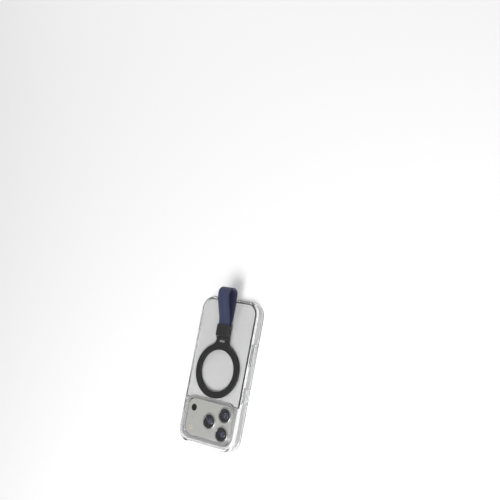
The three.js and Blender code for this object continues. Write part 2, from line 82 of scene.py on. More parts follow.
# Fixed places that every piece is set out from
CASE_LOW, CASE_HIGH = span("bumper_frame")
CASE_Y = (CASE_LOW.y + CASE_HIGH.y) / 2
PHONE_LOW, PHONE_HIGH = span("phone_housing")
PLATE_LOW, PLATE_HIGH = span("back_plate")
PHONE_BACK = PLATE_LOW.z
BACK_FACE = PLATE_HIGH.z
RING_LOW, RING_HIGH = span("magnet_cover")
RING_CENTRE = (RING_LOW + RING_HIGH) / 2
PAD_TOP = span("grip_pad")[1].z
CASE_WIDTH = CASE_HIGH.x - CASE_LOW.x
CASE_LENGTH = CASE_HIGH.y - CASE_LOW.y
PHONE_WIDTH = PHONE_HIGH.x - PHONE_LOW.x
PHONE_LENGTH = PHONE_HIGH.y - PHONE_LOW.y
PHONE_MIDDLE = (PHONE_LOW.z + PHONE_BACK) / 2 - SIDE_DROP
BUTTONS = ("action", "volume_up", "volume_down", "side", "camera_control")


# Sizes and colours


def length(name, description, millimetres):
    return FloatProperty(
        name=name, description=description, default=millimetres * MM, min=0, unit="LENGTH"
    )


def colour(name, description, red, green, blue):
    return FloatVectorProperty(
        name=name,
        description=description,
        subtype="COLOR",
        size=3,
        min=0,
        max=1,
        default=(red, green, blue),
    )


def amount(name, description, value):
    return FloatProperty(name=name, description=description, default=value, subtype="FACTOR")


class CaseSizes(bpy.types.PropertyGroup):
    """Sizes of the clear case."""

    corner: length("Corner", "Radius of the case's corners in plan", 15.05)
    outer_round: length("Outer round", "Radius of the case's outer edges", 2.1)
    wall: length("Wall", "Thickness of the bumper's walls", 2.3)
    phone_gap: length("Phone gap", "Room between the phone and the walls", 0.15)
    lip_height: length("Lip height", "Height of the front lip", 1.2)
    lip_reach: length("Lip reach", "How far the lip covers the phone's front", 1.6)
    seam: length("Seam", "Width of the seam round the back plate", 0.3)
    plate_margin: length("Plate margin", "Plate's distance from the case's sides", 4)
    plate_end_margin: length("Plate end margin", "Plate's distance from the case's end", 3.9)
    plate_corner: length("Plate corner", "Radius of the plate's corners", 10)
    plate_shoulder: length("Plate shoulder", "Plate's reach past the surround's edge", 2.6)
    flange_reach: length("Flange reach", "Reach of the plate's flange", 1.1)
    flange_thickness: length("Flange thickness", "Thickness of the plate's flange", 0.6)
    plate_edge: length("Plate edge", "Rounding of the plate's upper edge", 0.22)
    magnet_gap: length("Magnet gap", "Room round the magnets in their groove", 0.2)
    cutout_side: length("Cut-out side", "Cut-out's distance from the phone's side", 5.75)
    cutout_end: length("Cut-out end", "Cut-out's distance from the phone's end", 6.4)
    cutout_length: length("Cut-out length", "Camera cut-out along the phone", 37.8)
    cutout_corner: length("Cut-out corner", "Radius of the camera cut-out", 8.6)
    surround_wall: length("Surround wall", "Width of the raised camera surround", 3.4)
    surround_round: length("Surround round", "Rounding of the surround's outer edge", 1.3)
    surround_inner: length("Surround inner round", "Rounding of its inner edge", 0.6)
    port_width: length("Port width", "Width of the charging cut-out", 13.2)
    port_height: length("Port height", "Height of the charging cut-out", 6.4)
    speaker_width: length("Speaker width", "Width of a speaker cut-out", 13.4)
    speaker_height: length("Speaker height", "Height of a speaker cut-out", 3)
    cap_gap: length("Cap gap", "Gap round each button cap", 0.3)
    cap_edge: length("Cap edge", "Rounding of a button cap", 0.35)
    cap_dish: length("Cap dish", "Depth of the dish in a button cap", 0.12)
    cap_border: length("Cap border", "Flat border round the dish", 0.25)
    cap_slope: length("Cap slope", "Width of the slope down into the dish", 0.35)


class PhoneSizes(bpy.types.PropertyGroup):
    """Sizes of the phone in the case."""

    corner: length("Corner", "Radius of the phone's corners in plan", 12.6)
    edge_round: length("Edge round", "Radius of the phone's long edges", 2.4)
    plateau_gap: length("Plateau gap", "Room round the camera plateau", 0.4)
    plateau_edge: length("Plateau edge", "Rounding of the plateau's edge", 0.7)
    window_gap: length("Window gap", "Room round a lens or window", 0.15)
    barrel_depth: length("Barrel depth", "Depth of a lens barrel under its cover", 1.7)
    grille_hole: length("Grille hole", "Radius of a speaker hole", 0.75)
    grille_depth: length("Grille depth", "Depth of a speaker hole", 1.2)
    grille_pitch: length("Grille pitch", "Distance between speaker holes", 2.4)
    grille_centre: length("Grille centre", "Distance of each grille from the middle", 16)
    mic_hole: length("Microphone hole", "Radius of the microphone hole", 0.45)
    mic_depth: length("Microphone depth", "Depth of the microphone hole", 0.8)
    socket_width: length("Socket width", "Width of the charging socket", 9)
    socket_height: length("Socket height", "Height of the charging socket", 3.2)
    socket_depth: length("Socket depth", "Depth of the charging socket", 6.5)
    button_edge: length("Button edge", "Rounding of a side button", 0.22)
    button_room: length("Button room", "Room behind a pressed button", 0.45)
    display_edge: length("Display edge", "Rounding of the display glass", 0.25)


class GripSizes(bpy.types.PropertyGroup):
    """Sizes of the ring grip, its keeper and its strap."""

    inner: length("Inner radius", "Inner radius of the ring", 21.7)
    outer: length("Outer radius", "Outer radius of the ring", 28.5)
    thickness: length("Thickness", "Height of the ring over the case's back", 2.4)
    edge: length("Edge", "Rounding of the ring's edges", 0.55)
    neck_half: length("Neck half width", "Half the neck's width", 8.4)
    neck_fillet: length("Neck fillet", "Radius where the neck leaves the ring", 6.5)
    neck_length: length("Neck length", "Neck's reach past the ring", 6.7)
    neck_rise: length("Neck rise", "How much the neck's end stands up", 1.4)
    neck_rise_length: length("Neck rise length", "Length of the slope up to it", 3.3)
    tongue_half: length("Tongue half width", "Half the width of the tongue in the keeper", 5.5)
    tongue_thickness: length("Tongue thickness", "Thickness of the tongue", 0.7)
    tongue_drop: length("Tongue drop", "Tongue's underside from the neck's top", 1.1)
    keeper_wall: length("Keeper wall", "Thickness of the keeper's top and bottom", 0.8)
    keeper_side: length("Keeper side wall", "Thickness of the keeper's sides", 0.85)
    keeper_corner: length("Keeper corner", "Rounding of the keeper's long edges", 1.2)
    keeper_ribs: IntProperty(name="Keeper ribs", description="Number of ribs", default=9)
    rib_depth: length("Rib depth", "Depth of the grooves between the ribs", 0.3)
    rib_gap: length("Rib gap", "Width of the grooves", 0.7)
    rib_margin: length("Rib margin", "Plain band at each end of the keeper", 1.5)
    badge_width: length("Plate width", "Width of the bare plate on the neck", 6.6)
    badge_length: length("Plate length", "Its length along the neck", 2.2)
    badge_thickness: length("Plate thickness", "How far it stands proud", 0.14)
    strap_width: length("Strap width", "Width of the woven strap", 14.6)
    strap_thickness: length("Strap thickness", "Thickness of the woven strap", 1.1)
    strap_setback: length("Strap setback", "Strap's ends from the keeper's upper mouth", 1.6)
    loop_radius: length("Loop radius", "Radius of the loop's end", 6.7)
    loop_overhang: length("Loop overhang", "Loop's centre past the case's end", 3.55)
    loop_slope: FloatProperty(
        name="Loop slope",
        description="Fall of the strap at its top",
        default=0.145,
        unit="ROTATION",
    )


class Finishes(bpy.types.PropertyGroup):
    """Colours of the pieces."""

    clear: colour("Clear plastic", "Tint of the clear case", 0.87, 0.875, 0.875)
    back: colour("Phone back", "Bead-blasted back", 0.572, 0.57, 0.568)
    plateau: colour("Camera plateau", "Bead-blasted plateau", 0.51, 0.51, 0.485)
    polished: colour("Polished metal", "Bezels and buttons", 0.66, 0.665, 0.67)
    glass_black: colour("Black glass", "Display and lens surrounds", 0.006, 0.007, 0.009)
    # Painted highlight: the soft bluish reflection deep in each lens, laid into its colour
    painted_lens_highlight: colour("Lens coating", "Tint deep in the lenses", 0.045, 0.05, 0.085)
    grip: colour("Grip", "Matt ring of the grip", 0.017, 0.017, 0.0175)
    keeper: colour("Keeper", "Rubber keeper", 0.027, 0.027, 0.0265)
    strap: colour("Strap", "Yarn of the strap", 0.036, 0.05, 0.13)
    # Painted shade in the gaps between the yarns
    strap_gap_shade: colour("Strap shade", "Gaps between the yarns", 0.012, 0.015, 0.04)
    floor: colour("Floor", "Pale floor", 0.99, 0.99, 0.99)


class StageSettings(bpy.types.PropertyGroup):
    """Place of the camera and strength of the lights."""

    camera_place: FloatVectorProperty(
        name="Camera place",
        description="Where the camera stands",
        subtype="TRANSLATION",
        default=(-0.63346, -0.0391, 0.77629),
    )
    camera_aim: FloatVectorProperty(
        name="Camera aim",
        description="Point on the floor that it looks at",
        subtype="TRANSLATION",
        default=(-0.00252, -0.12603, 0.0),
    )
    camera_roll: FloatProperty(
        name="Camera roll",
        description="Turn of the camera about its view",
        unit="ROTATION",
        default=math.radians(-73.232),
    )
    lens: FloatProperty(name="Lens", description="Focal length in millimetres", default=68.66)
    horizon: amount("Horizon", "Brightness of the studio walls", 0.72)
    zenith: amount("Zenith", "Brightness of the studio ceiling", 0.3)
    key: FloatProperty(name="Key light", description="Power in watts", default=9.2)
    fill: FloatProperty(name="Fill light", description="Power in watts", default=3.2)


GROUPS = {
    "case_sizes": CaseSizes,
    "phone_sizes": PhoneSizes,
    "grip_sizes": GripSizes,
    "finishes": Finishes,
    "stage_settings": StageSettings,
}


# Selecting and shaping


def leave_edit_mode():
    if bpy.context.object and bpy.context.object.mode != "OBJECT":
        bpy.ops.object.mode_set(mode="OBJECT")


def select_only(piece):
    leave_edit_mode()
    bpy.ops.object.select_all(action="DESELECT")
    piece.select_set(True)
    bpy.context.view_layer.objects.active = piece


def start(name, primitive, **settings):
    """Add a primitive with nothing else selected, and put its place in its mesh."""
    leave_edit_mode()
    bpy.ops.object.select_all(action="DESELECT")
    primitive(**settings)
    piece = bpy.context.object
    piece.name = name
    piece.data.name = name
    bpy.ops.object.transform_apply(location=True, rotation=True, scale=True)
    return piece


def block(name, low, high):
    low, high = Vector(low), Vector(high)
    return start(
        name,
        bpy.ops.mesh.primitive_cube_add,
        size=1,
        location=(low + high) / 2,
        scale=high - low,
    )


def edit(piece, kind="EDGE"):
    select_only(piece)
    bpy.ops.object.mode_set(mode="EDIT")
    bpy.ops.mesh.select_mode(type=kind)
    bpy.ops.mesh.select_all(action="DESELECT")
    return bmesh.from_edit_mesh(piece.data)


def pick(piece, items, test):
    """Select the edges or faces whose corners all pass a test."""
    count = 0
    for item in items:
        if all(test(vertex.co) for vertex in item.verts):
            item.select_set(True)
            count += 1
    bmesh.update_edit_mesh(piece.data)
    if not count:
        raise RuntimeError(f"{piece.name}: nothing to shape there")


def near(a, b):
    return abs(a - b) < TINY


def bevel(piece, test, width, steps):
    """Round the edges whose two ends both pass a test."""
    mesh = edit(piece)
    pick(piece, mesh.edges, test)
    bpy.ops.mesh.bevel(offset=width, segments=steps, profile=0.5, clamp_overlap=False)
    leave_edit_mode()
    return piece


def bevel_along(piece, axis, width, steps):
    """Round a block's four edges that run along an axis."""
    mesh = edit(piece)
    others = [a for a in (X, Y, Z) if a != axis]
    for edge in mesh.edges:
        first, second = (vertex.co for vertex in edge.verts)
        if all(near(first[a], second[a]) for a in others):
            edge.select_set(True)
    bmesh.update_edit_mesh(piece.data)
    bpy.ops.mesh.bevel(offset=width, segments=steps, profile=0.5, clamp_overlap=False)
    leave_edit_mode()
    return piece


def slab(name, width, run, corner, low, high, x=0.0, y=CASE_Y, steps=20):
    """An upright block with rounded corners round a place."""
    piece = block(name, (x - width / 2, y - run / 2, low), (x + width / 2, y + run / 2, high))
    return bevel_along(piece, Z, corner, steps)


def round_rim(piece, height, width, steps):
    return bevel(piece, lambda at: near(at.z, height), width, steps)


def combine(piece, operation, *tools):
    for tool in tools:
        select_only(piece)
        change = piece.modifiers.new(operation.lower(), "BOOLEAN")
        change.operation = operation
        change.solver = "MANIFOLD"
        change.object = tool
        bpy.ops.object.modifier_apply(modifier=change.name)
        bpy.data.meshes.remove(tool.data)
    return piece


def cut(piece, *tools):
    return combine(piece, "DIFFERENCE", *tools)


def join(piece, *tools):
    return combine(piece, "UNION", *tools)


def turned(name, centre, profile, steps=96, closed=True):
    """A profile of radii and heights spun round an upright axis at a place."""
    x, y = centre
    first = profile[0]
    piece = start(
        name,
        bpy.ops.mesh.primitive_plane_add,
        size=MM / 10,
        location=(x + first[0], y, first[1]),
    )
    edit(piece, "VERT")
    bpy.ops.mesh.select_all(action="SELECT")
    bpy.ops.mesh.merge(type="CENTER")
    points = list(profile[1:])
    if closed:
        points.append(first)
    last = first
    for point in points:
        step = (point[0] - last[0], 0, point[1] - last[1])
        bpy.ops.mesh.extrude_vertices_move(TRANSFORM_OT_translate={"value": step})
        last = point
    bpy.ops.mesh.select_all(action="SELECT")
    bpy.ops.mesh.remove_doubles(threshold=TINY / 4)
    bpy.ops.mesh.select_all(action="SELECT")
    bpy.ops.mesh.spin(steps=steps, angle=math.tau, center=(x, y, 0), axis=(0, 0, 1))
    bpy.ops.mesh.select_all(action="SELECT")
    bpy.ops.mesh.remove_doubles(threshold=TINY)
    bpy.ops.mesh.normals_make_consistent(inside=False)
    leave_edit_mode()
    return piece


def disc(name, centre, radius, low, high, steps=48):
    return start(
        name,
        bpy.ops.mesh.primitive_cylinder_add,
        vertices=steps,
        radius=radius,
        depth=high - low,
        location=(centre[0], centre[1], (low + high) / 2),
    )


def arc(centre, radius, start_angle, end_angle, steps):
    """Points of a round in a profile."""
    points = []
    for i in range(steps + 1):
        angle = start_angle + (end_angle - start_angle) * i / steps
        points.append((centre[0] + radius * math.cos(angle), centre[1] + radius * math.sin(angle)))
    return points


def copy_to(piece, name, shift):
    """A copy with its own mesh, moved to another place."""
    twin = piece.copy()
    twin.data = piece.data.copy()
    twin.name = twin.data.name = name
    bpy.context.collection.objects.link(twin)
    twin.data.transform(Matrix.Translation(shift))
    return twin


def smooth(piece, degrees=32):
    select_only(piece)
    bpy.ops.object.shade_smooth_by_angle(angle=math.radians(degrees))
    weigh = piece.modifiers.new("normals", "WEIGHTED_NORMAL")
    weigh.keep_sharp = True
    weigh.weight = 100
    bpy.ops.object.modifier_apply(modifier=weigh.name)
    return piece


def fit(piece, material, body=BODY, nodes=()):
    """Give a finished piece its material, its body and the nodes that it stands for."""
    piece.data.materials.clear()
    piece.data.materials.append(material)
    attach(piece, body)
    if nodes:
        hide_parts(*nodes)
    return piece


# Shared effects and materials


def node(tree, kind, inputs=None, **settings):
    made = tree.nodes.new(kind)
    for key, value in settings.items():
        setattr(made, key, value)
    for key, value in (inputs or {}).items():
        if isinstance(value, bpy.types.NodeSocket):
            tree.links.new(value, made.inputs[key])
        else:
            made.inputs[key].default_value = value
    return made


def calc(tree, operation, first, second=0.0, clamp=False):
    terms = {0: first, 1: second}
    made = node(tree, "ShaderNodeMath", terms, operation=operation, use_clamp=clamp)
    return made.outputs[0]


def whole(value):
    """A colour with its fourth number, or a socket as it is."""
    return value if isinstance(value, bpy.types.NodeSocket) else (*value, 1)


def blend_colours(tree, factor, first, second):
    inputs = {"Factor": factor, 6: whole(first), 7: whole(second)}
    return node(tree, "ShaderNodeMix", inputs, data_type="RGBA").outputs[2]


def shade(tree, base, value):
    inputs = {"Color": whole(base), "Value": value}
    return node(tree, "ShaderNodeHueSaturation", inputs).outputs[0]


def between(tree, value, low, high, to_low=0.0, to_high=1.0):
    inputs = {
        "Value": value,
        "From Min": low,
        "From Max": high,
        "To Min": to_low,
        "To Max": to_high,
    }
    return node(tree, "ShaderNodeMapRange", inputs).outputs[0]


def effect(name, inputs, outputs, build):
    """A shader node group, built the first time that it is asked for."""
    group = bpy.data.node_groups.get(name)
    if group:
        return group
    group = bpy.data.node_groups.new(name, "ShaderNodeTree")
    for label, default in inputs.items():
        socket = group.interface.new_socket(label, in_out="INPUT", socket_type="NodeSocketFloat")
        socket.default_value = default
    for label in outputs:
        group.interface.new_socket(label, in_out="OUTPUT", socket_type="NodeSocketFloat")
    source = group.nodes.new("NodeGroupInput").outputs
    sink = group.nodes.new("NodeGroupOutput").inputs
    for label, value in build(group, source).items():
        group.links.new(value, sink[label])
    return group


def place(tree):
    return node(tree, "ShaderNodeTexCoord").outputs["Object"]


def placed(tree, group, values):
    """A group in a material's tree, with its own values."""
    return node(tree, "ShaderNodeGroup", values, node_tree=group).outputs


def grain(tree, scale, spread=0.5):
    """Fine moulded or blasted grain, with a slow change of tone over it."""

    def build(group, source):
        fine = node(group, "ShaderNodeTexNoise", {"Vector": place(group), "Detail": 4.0})
        group.links.new(source["Scale"], fine.inputs["Scale"])
        slow_scale = calc(group, "DIVIDE", source["Scale"], 60.0)
        slow = node(group, "ShaderNodeTexNoise", {"Vector": place(group), "Scale": slow_scale})
        spread_out = calc(group, "SUBTRACT", slow.outputs[0], 0.5)
        tone = calc(group, "MULTIPLY", spread_out, source["Spread"])
        return {"Height": fine.outputs[0], "Tone": calc(group, "ADD", tone, 0.5)}

    group = effect("Grain", {"Scale": 4000.0, "Spread": 0.5}, ("Height", "Tone"), build)
    return placed(tree, group, {"Scale": scale, "Spread": spread})


def smudges(tree, scale):
    """Faint handling marks: soft patches with a few fine hairline scratches."""

    def build(group, source):
        soft = node(group, "ShaderNodeTexNoise", {"Vector": place(group), "Detail": 3.0})
        group.links.new(source["Scale"], soft.inputs["Scale"])
        patches = between(group, soft.outputs[0], 0.45, 0.75)
        long_way = node(
            group, "ShaderNodeMapping", {"Vector": place(group), "Scale": (1.0, 0.05, 1.0)}
        )
        line_scale = calc(group, "MULTIPLY", source["Scale"], 60.0)
        lines = node(
            group,
            "ShaderNodeTexNoise",
            {"Vector": long_way.outputs[0], "Scale": line_scale, "Detail": 2.0},
        )
        scratches = between(group, lines.outputs[0], 0.68, 0.72)
        return {"Patches": patches, "Scratches": scratches}

    group = effect("Smudges", {"Scale": 40.0}, ("Patches", "Scratches"), build)
    return placed(tree, group, {"Scale": scale})


def handled(tree, scale, share, roughness):
    """A roughness that handling marks change a little."""
    patches = smudges(tree, scale)["Patches"]
    return calc(tree, "ADD", calc(tree, "MULTIPLY", patches, share), roughness)


def rings(tree, centre, pitch):
    """Fine turned rings round an upright axis."""

    def build(group, source):
        parts = node(group, "ShaderNodeSeparateXYZ", {0: place(group)})
        across = calc(group, "SUBTRACT", parts.outputs[0], source["X"])
        along = calc(group, "SUBTRACT", parts.outputs[1], source["Y"])
        squares = calc(
            group,
            "ADD",
            calc(group, "MULTIPLY", across, across),
            calc(group, "MULTIPLY", along, along),
        )
        radius = calc(group, "SQRT", squares)
        turns = calc(group, "DIVIDE", radius, source["Pitch"])
        wave = calc(group, "SINE", calc(group, "MULTIPLY", turns, math.tau))
        return {"Radius": radius, "Height": between(group, wave, -1.0, 1.0)}

    inputs = {"X": 0.0, "Y": 0.0, "Pitch": 0.0002}
    group = effect("Rings", inputs, ("Radius", "Height"), build)
    return placed(tree, group, {"X": centre[0], "Y": centre[1], "Pitch": pitch})


def weave(tree, pitch):
    """Twill yarns in a zigzag across the strap, read from its own UV map in metres."""

    def build(group, source):
        cloth = node(group, "ShaderNodeUVMap", uv_map="strap")
        parts = node(group, "ShaderNodeSeparateXYZ", {0: cloth.outputs[0]})
        u = calc(group, "DIVIDE", parts.outputs[0], source["Pitch"])
        v = calc(group, "DIVIDE", parts.outputs[1], source["Pitch"])
        chevron = calc(group, "PINGPONG", u, 6.0)
        slant = calc(group, "ADD", calc(group, "MULTIPLY", chevron, 0.75), v)
        yarn = calc(group, "SINE", calc(group, "MULTIPLY", slant, math.tau))
        across = calc(group, "SINE", calc(group, "MULTIPLY", u, math.tau))
        yarns = between(group, yarn, -1.0, 1.0)
        strands = between(group, across, -1.0, 1.0)
        height = calc(group, "MULTIPLY", yarns, calc(group, "ADD", strands, 1.2))
        edge = calc(group, "ABSOLUTE", parts.outputs[0])
        return {"Height": calc(group, "DIVIDE", height, 2.2), "Yarn": yarns, "Edge": edge}

    group = effect("Weave", {"Pitch": 0.0006}, ("Height", "Yarn", "Edge"), build)
    return placed(tree, group, {"Pitch": pitch})


def bump(tree, height, strength, distance):
    inputs = {"Height": height, "Strength": strength, "Distance": distance}
    return node(tree, "ShaderNodeBump", inputs).outputs[0]


def material(name, base, values, build=None):
    """A material on a Principled shader: plain values on its sockets, the rest from nodes."""
    made = bpy.data.materials.get(name)
    if made:
        return made
    made = bpy.data.materials.new(name)
    made.use_nodes = True
    tree = made.node_tree
    shader = tree.nodes["Principled BSDF"]
    shader.inputs["Base Color"].default_value = (*base, 1)
    for key, value in values.items():
        shader.inputs[key].default_value = value
    if build:
        for key, value in build(tree).items():
            tree.links.new(value, shader.inputs[key])
    return made


def clear_plastic(name, tint, roughness):
    def build(tree):
        marks = smudges(tree, 45.0)
        worn = calc(tree, "MULTIPLY", marks["Patches"], 0.04)
        lines = calc(tree, "MULTIPLY", marks["Scratches"], 0.03)
        rough = calc(tree, "ADD", calc(tree, "ADD", worn, lines), roughness)
        flow = grain(tree, 120.0)
        return {"Roughness": rough, "Normal": bump(tree, flow["Height"], 0.02, 0.0001)}

    values = {"Transmission Weight": 1.0, "IOR": 1.48, "Specular IOR Level": 0.5}
    return material(name, tint, values, build)


def blasted_metal():
    """Fine bead-blasted aluminium: light on the back, a shade darker on the camera plateau."""
    looks = bpy.context.scene.finishes

    def build(tree):
        fine = grain(tree, 9000.0, 0.35)
        parts = node(tree, "ShaderNodeSeparateXYZ", {0: place(tree)})
        raised = between(tree, parts.outputs[2], PHONE_BACK, PHONE_BACK + 0.4 * MM)
        base = blend_colours(tree, raised, looks.back, looks.plateau)
        lively = calc(tree, "MULTIPLY", fine["Tone"], 0.12)
        toned = shade(tree, base, calc(tree, "ADD", lively, 0.94))
        rough = between(tree, fine["Height"], 0.3, 0.7, 0.42, 0.52)
        normal = bump(tree, fine["Height"], 0.12, 0.00004)
        return {"Base Color": toned, "Roughness": rough, "Normal": normal}

    return material("Blasted metal", looks.back, {"Metallic": 0.35}, build)


def polished_metal(name, base, roughness=0.18, metallic=1.0):
    def build(tree):
        fine = grain(tree, 2600.0, 0.4)
        tone = calc(tree, "ADD", calc(tree, "MULTIPLY", fine["Tone"], 0.2), 0.9)
        return {
            "Base Color": shade(tree, base, tone),
            "Roughness": handled(tree, 90.0, 0.1, roughness),
            "Normal": bump(tree, fine["Height"], 0.05, 0.00002),
        }

    return material(name, base, {"Metallic": metallic}, build)


def moulded(name, base, roughness, scale, depth):
    """Matt moulded plastic or rubber with a fine spark grain and a little polish from handling."""

    def build(tree):
        fine = grain(tree, scale, 0.6)
        tone = calc(tree, "ADD", calc(tree, "MULTIPLY", fine["Tone"], 0.5), 0.75)
        return {
            "Base Color": shade(tree, base, tone),
            "Roughness": handled(tree, 60.0, -0.1, roughness),
            "Normal": bump(tree, fine["Height"], depth, 0.00006),
        }

    return material(name, base, {"Specular IOR Level": 0.4}, build)


def black_glass(name, base, centre, pattern, painted_lens_highlight=None, reach=1.0):
    """Dark glass under a clear coat. Inside its reach it takes a painted bluish highlight,
    strongest in the middle.
    """

    def build(tree):
        turns = rings(tree, centre, pattern)
        # Painted highlight: a bluish colour laid in the middle of the lens, fading out towards its
        # reach
        inside = between(tree, turns["Radius"], reach, 0.0)
        with_highlight = blend_colours(tree, inside, base, painted_lens_highlight or base)
        return {"Base Color": with_highlight, "Roughness": handled(tree, 70.0, 0.04, 0.04)}

    values = {"IOR": 1.52, "Coat Weight": 0.6, "Coat Roughness": 0.02}
    return material(name, base, values, build)


# Case


def plate_slab(name, grow, surround_grow, low, high):
    """The back plate's outline between two heights, bitten round by the camera surround."""
    s = bpy.context.scene.case_sizes
    width = CASE_WIDTH - 2 * s.plate_margin + 2 * grow
    near_end = CASE_LOW.y + s.plate_end_margin - grow
    shoulder = cutout_low() - s.surround_wall + s.plate_shoulder + grow
    far_end = shoulder + 2 * s.plate_corner
    piece = slab(
        name,
        width,
        far_end - near_end,
        s.plate_corner + grow,
        low,
        high,
        y=(near_end + far_end) / 2,
    )
    past = block("past", (-width, shoulder, low - MM), (width, shoulder + CASE_WIDTH, high + MM))
    bite = surround_slab("bite", surround_grow, low - MM, high + MM)
    return cut(piece, past, bite)


def cutout_low():
    s = bpy.context.scene.case_sizes
    return CASE_Y + PHONE_LENGTH / 2 - s.cutout_end - s.cutout_length


def cutout_centre():
    return cutout_low() + bpy.context.scene.case_sizes.cutout_length / 2


def surround_slab(name, grow, low, high, steps=20):
    wall = bpy.context.scene.case_sizes.surround_wall
    return cutout_slab(name, wall + grow, low, high, steps)


def cutout_slab(name, grow, low, high, steps=20):
    s = bpy.context.scene.case_sizes
    width = PHONE_WIDTH - 2 * s.cutout_side
    return slab(
        name,
        width + 2 * grow,
        s.cutout_length + 2 * grow,
        s.cutout_corner + grow,
        low,
        high,
        y=cutout_centre(),
        steps=steps,
    )


def side_reach(node_name):
    """The side that a button or cap is on, and its distances from the middle."""
    low, high = span(node_name)
    inner, outer = sorted((abs(low.x), abs(high.x)))
    return (1 if low.x > 0 else -1), inner, outer


def side_pill(name, node_name, grow, inner, outer, corner):
    """A rounded block in a side wall round a button or cap of the frame."""
    low, high = span(node_name)
    side = side_reach(node_name)[0]
    ends = sorted((side * inner, side * outer))
    piece = block(
        name,
        (ends[0], low.y - grow, low.z - grow),
        (ends[1], high.y + grow, high.z + grow),
    )
    return bevel_along(piece, X, corner, 8)


def end_pill(name, width, height, x, low, high):
    bottom = (x - width / 2, low, PHONE_MIDDLE - height / 2)
    piece = block(name, bottom, (x + width / 2, high, PHONE_MIDDLE + height / 2))
    return bevel_along(piece, Y, height / 2 - 0.01 * MM, 10)


def magnet_groove():
    s = bpy.context.scene.case_sizes
    inner, outer = band()
    top = span("case_magnet_01")[1].z + s.magnet_gap
    low = PHONE_BACK - MM
    profile = [
        (inner - s.magnet_gap, low),
        (outer + s.magnet_gap, low),
        (outer + s.magnet_gap, top),
        (inner - s.magnet_gap, top),
    ]
    return turned("groove", RING_CENTRE.xy, profile)


def band():
    """The inner and outer radius of the magnets' ring, from the cover under them."""
    outer = (RING_HIGH.x - RING_LOW.x) / 2
    g = bpy.context.scene.grip_sizes
    return g.inner + (g.outer - outer), outer


def build_bumper():
    s = bpy.context.scene.case_sizes
    shell = slab("bumper_shell", CASE_WIDTH, CASE_LENGTH, s.corner, 0, BACK_FACE, steps=24)
    round_rim(shell, BACK_FACE, s.outer_round, 8)
    round_rim(shell, 0, s.outer_round, 8)
    surround = surround_slab("surround", 0, PHONE_BACK - s.surround_round, CASE_HIGH.z, 24)
    round_rim(surround, CASE_HIGH.z, s.surround_round, 6)
    join(shell, surround)
    front = s.lip_height
    space = slab(
        "space",
        PHONE_WIDTH + 2 * s.phone_gap,
        PHONE_LENGTH + 2 * s.phone_gap,
        s.corner - s.wall,
        front,
        PHONE_BACK,
    )
    reach = s.lip_reach
    view = slab(
        "view",
        PHONE_WIDTH - 2 * reach,
        PHONE_LENGTH - 2 * reach,
        s.corner - s.wall - s.phone_gap - reach,
        -MM,
        front + MM,
    )
    camera = cutout_slab("camera", 0, PHONE_BACK - MM, CASE_HIGH.z + MM)
    recess = plate_slab("recess", s.seam, 0, PHONE_BACK - MM, BACK_FACE + MM)
    flange = s.flange_reach
    ledge = plate_slab(
        "ledge", flange + s.seam, -flange, PHONE_BACK - MM, PHONE_BACK + s.flange_thickness
    )
    cut(shell, space, view, camera, recess, ledge)
    for name in BUTTONS:
        wall = PHONE_WIDTH / 2 + s.phone_gap
        hole = side_pill(
            "hole", f"{name}_cap", s.cap_gap, wall - MM, CASE_WIDTH / 2 + MM, MM + s.cap_gap
        )
        cut(shell, hole)
    ends = (CASE_LOW.y - MM, CASE_Y - PHONE_LENGTH / 2 + MM / 2)
    p = bpy.context.scene.phone_sizes
    cut(shell, end_pill("port", s.port_width, s.port_height, 0, *ends))
    for side in (-1, 1):
        x = side * p.grille_centre
        cut(shell, end_pill("speaker", s.speaker_width, s.speaker_height, x, *ends))
    half = PHONE_WIDTH / 2 - s.cutout_side + TINY
    centre = cutout_centre()
    bevel(
        shell,
        lambda at: near(at.z, CASE_HIGH.z)
        and abs(at.x) < half
        and abs(at.y - centre) < s.cutout_length / 2 + TINY,
        s.surround_inner,
        4,
    )
    smooth(shell)
    clear = clear_plastic("Clear bumper", bpy.context.scene.finishes.clear, 0.09)
    fit(shell, clear, nodes=["bumper_frame"])
    shell.visible_shadow = False


def build_plate():
    s = bpy.context.scene.case_sizes
    lift = 0.04 * MM
    plate = plate_slab("clear_back", 0, s.seam, PHONE_BACK + lift, BACK_FACE)
    round_rim(plate, BACK_FACE, s.plate_edge, 3)
    top = PHONE_BACK + s.flange_thickness
    reach = s.flange_reach
    flange = plate_slab("flange", reach, s.seam - reach, PHONE_BACK + lift, top)
    join(plate, flange)
    cut(plate, magnet_groove())
    smooth(plate)
    clear = clear_plastic("Clear plate", bpy.context.scene.finishes.clear, 0.03)
    fit(plate, clear, nodes=["back_plate"])
    plate.visible_shadow = False


def build_caps():
    s = bpy.context.scene.case_sizes
    clear = clear_plastic("Clear bumper", bpy.context.scene.finishes.clear, 0.09)
    for name in BUTTONS:
        side, inner, outer = side_reach(f"{name}_cap")
        cap = side_pill(f"{name}_press_cap", f"{name}_cap", 0, inner, outer, MM)
        face = side * outer
        bevel(cap, lambda at: near(at.x, face), s.cap_edge, 4)
        mesh = edit(cap, "FACE")
        pick(cap, mesh.faces, lambda at: near(at.x, face))
        bpy.ops.mesh.inset(thickness=s.cap_border)
        bpy.ops.mesh.inset(thickness=s.cap_slope)
        bpy.ops.transform.translate(value=(-side * s.cap_dish, 0, 0))
        leave_edit_mode()
        smooth(cap, 40)
        fit(cap, clear, f"{name}_press", [f"{name}_cap"])
        cap.visible_shadow = False


# Phone


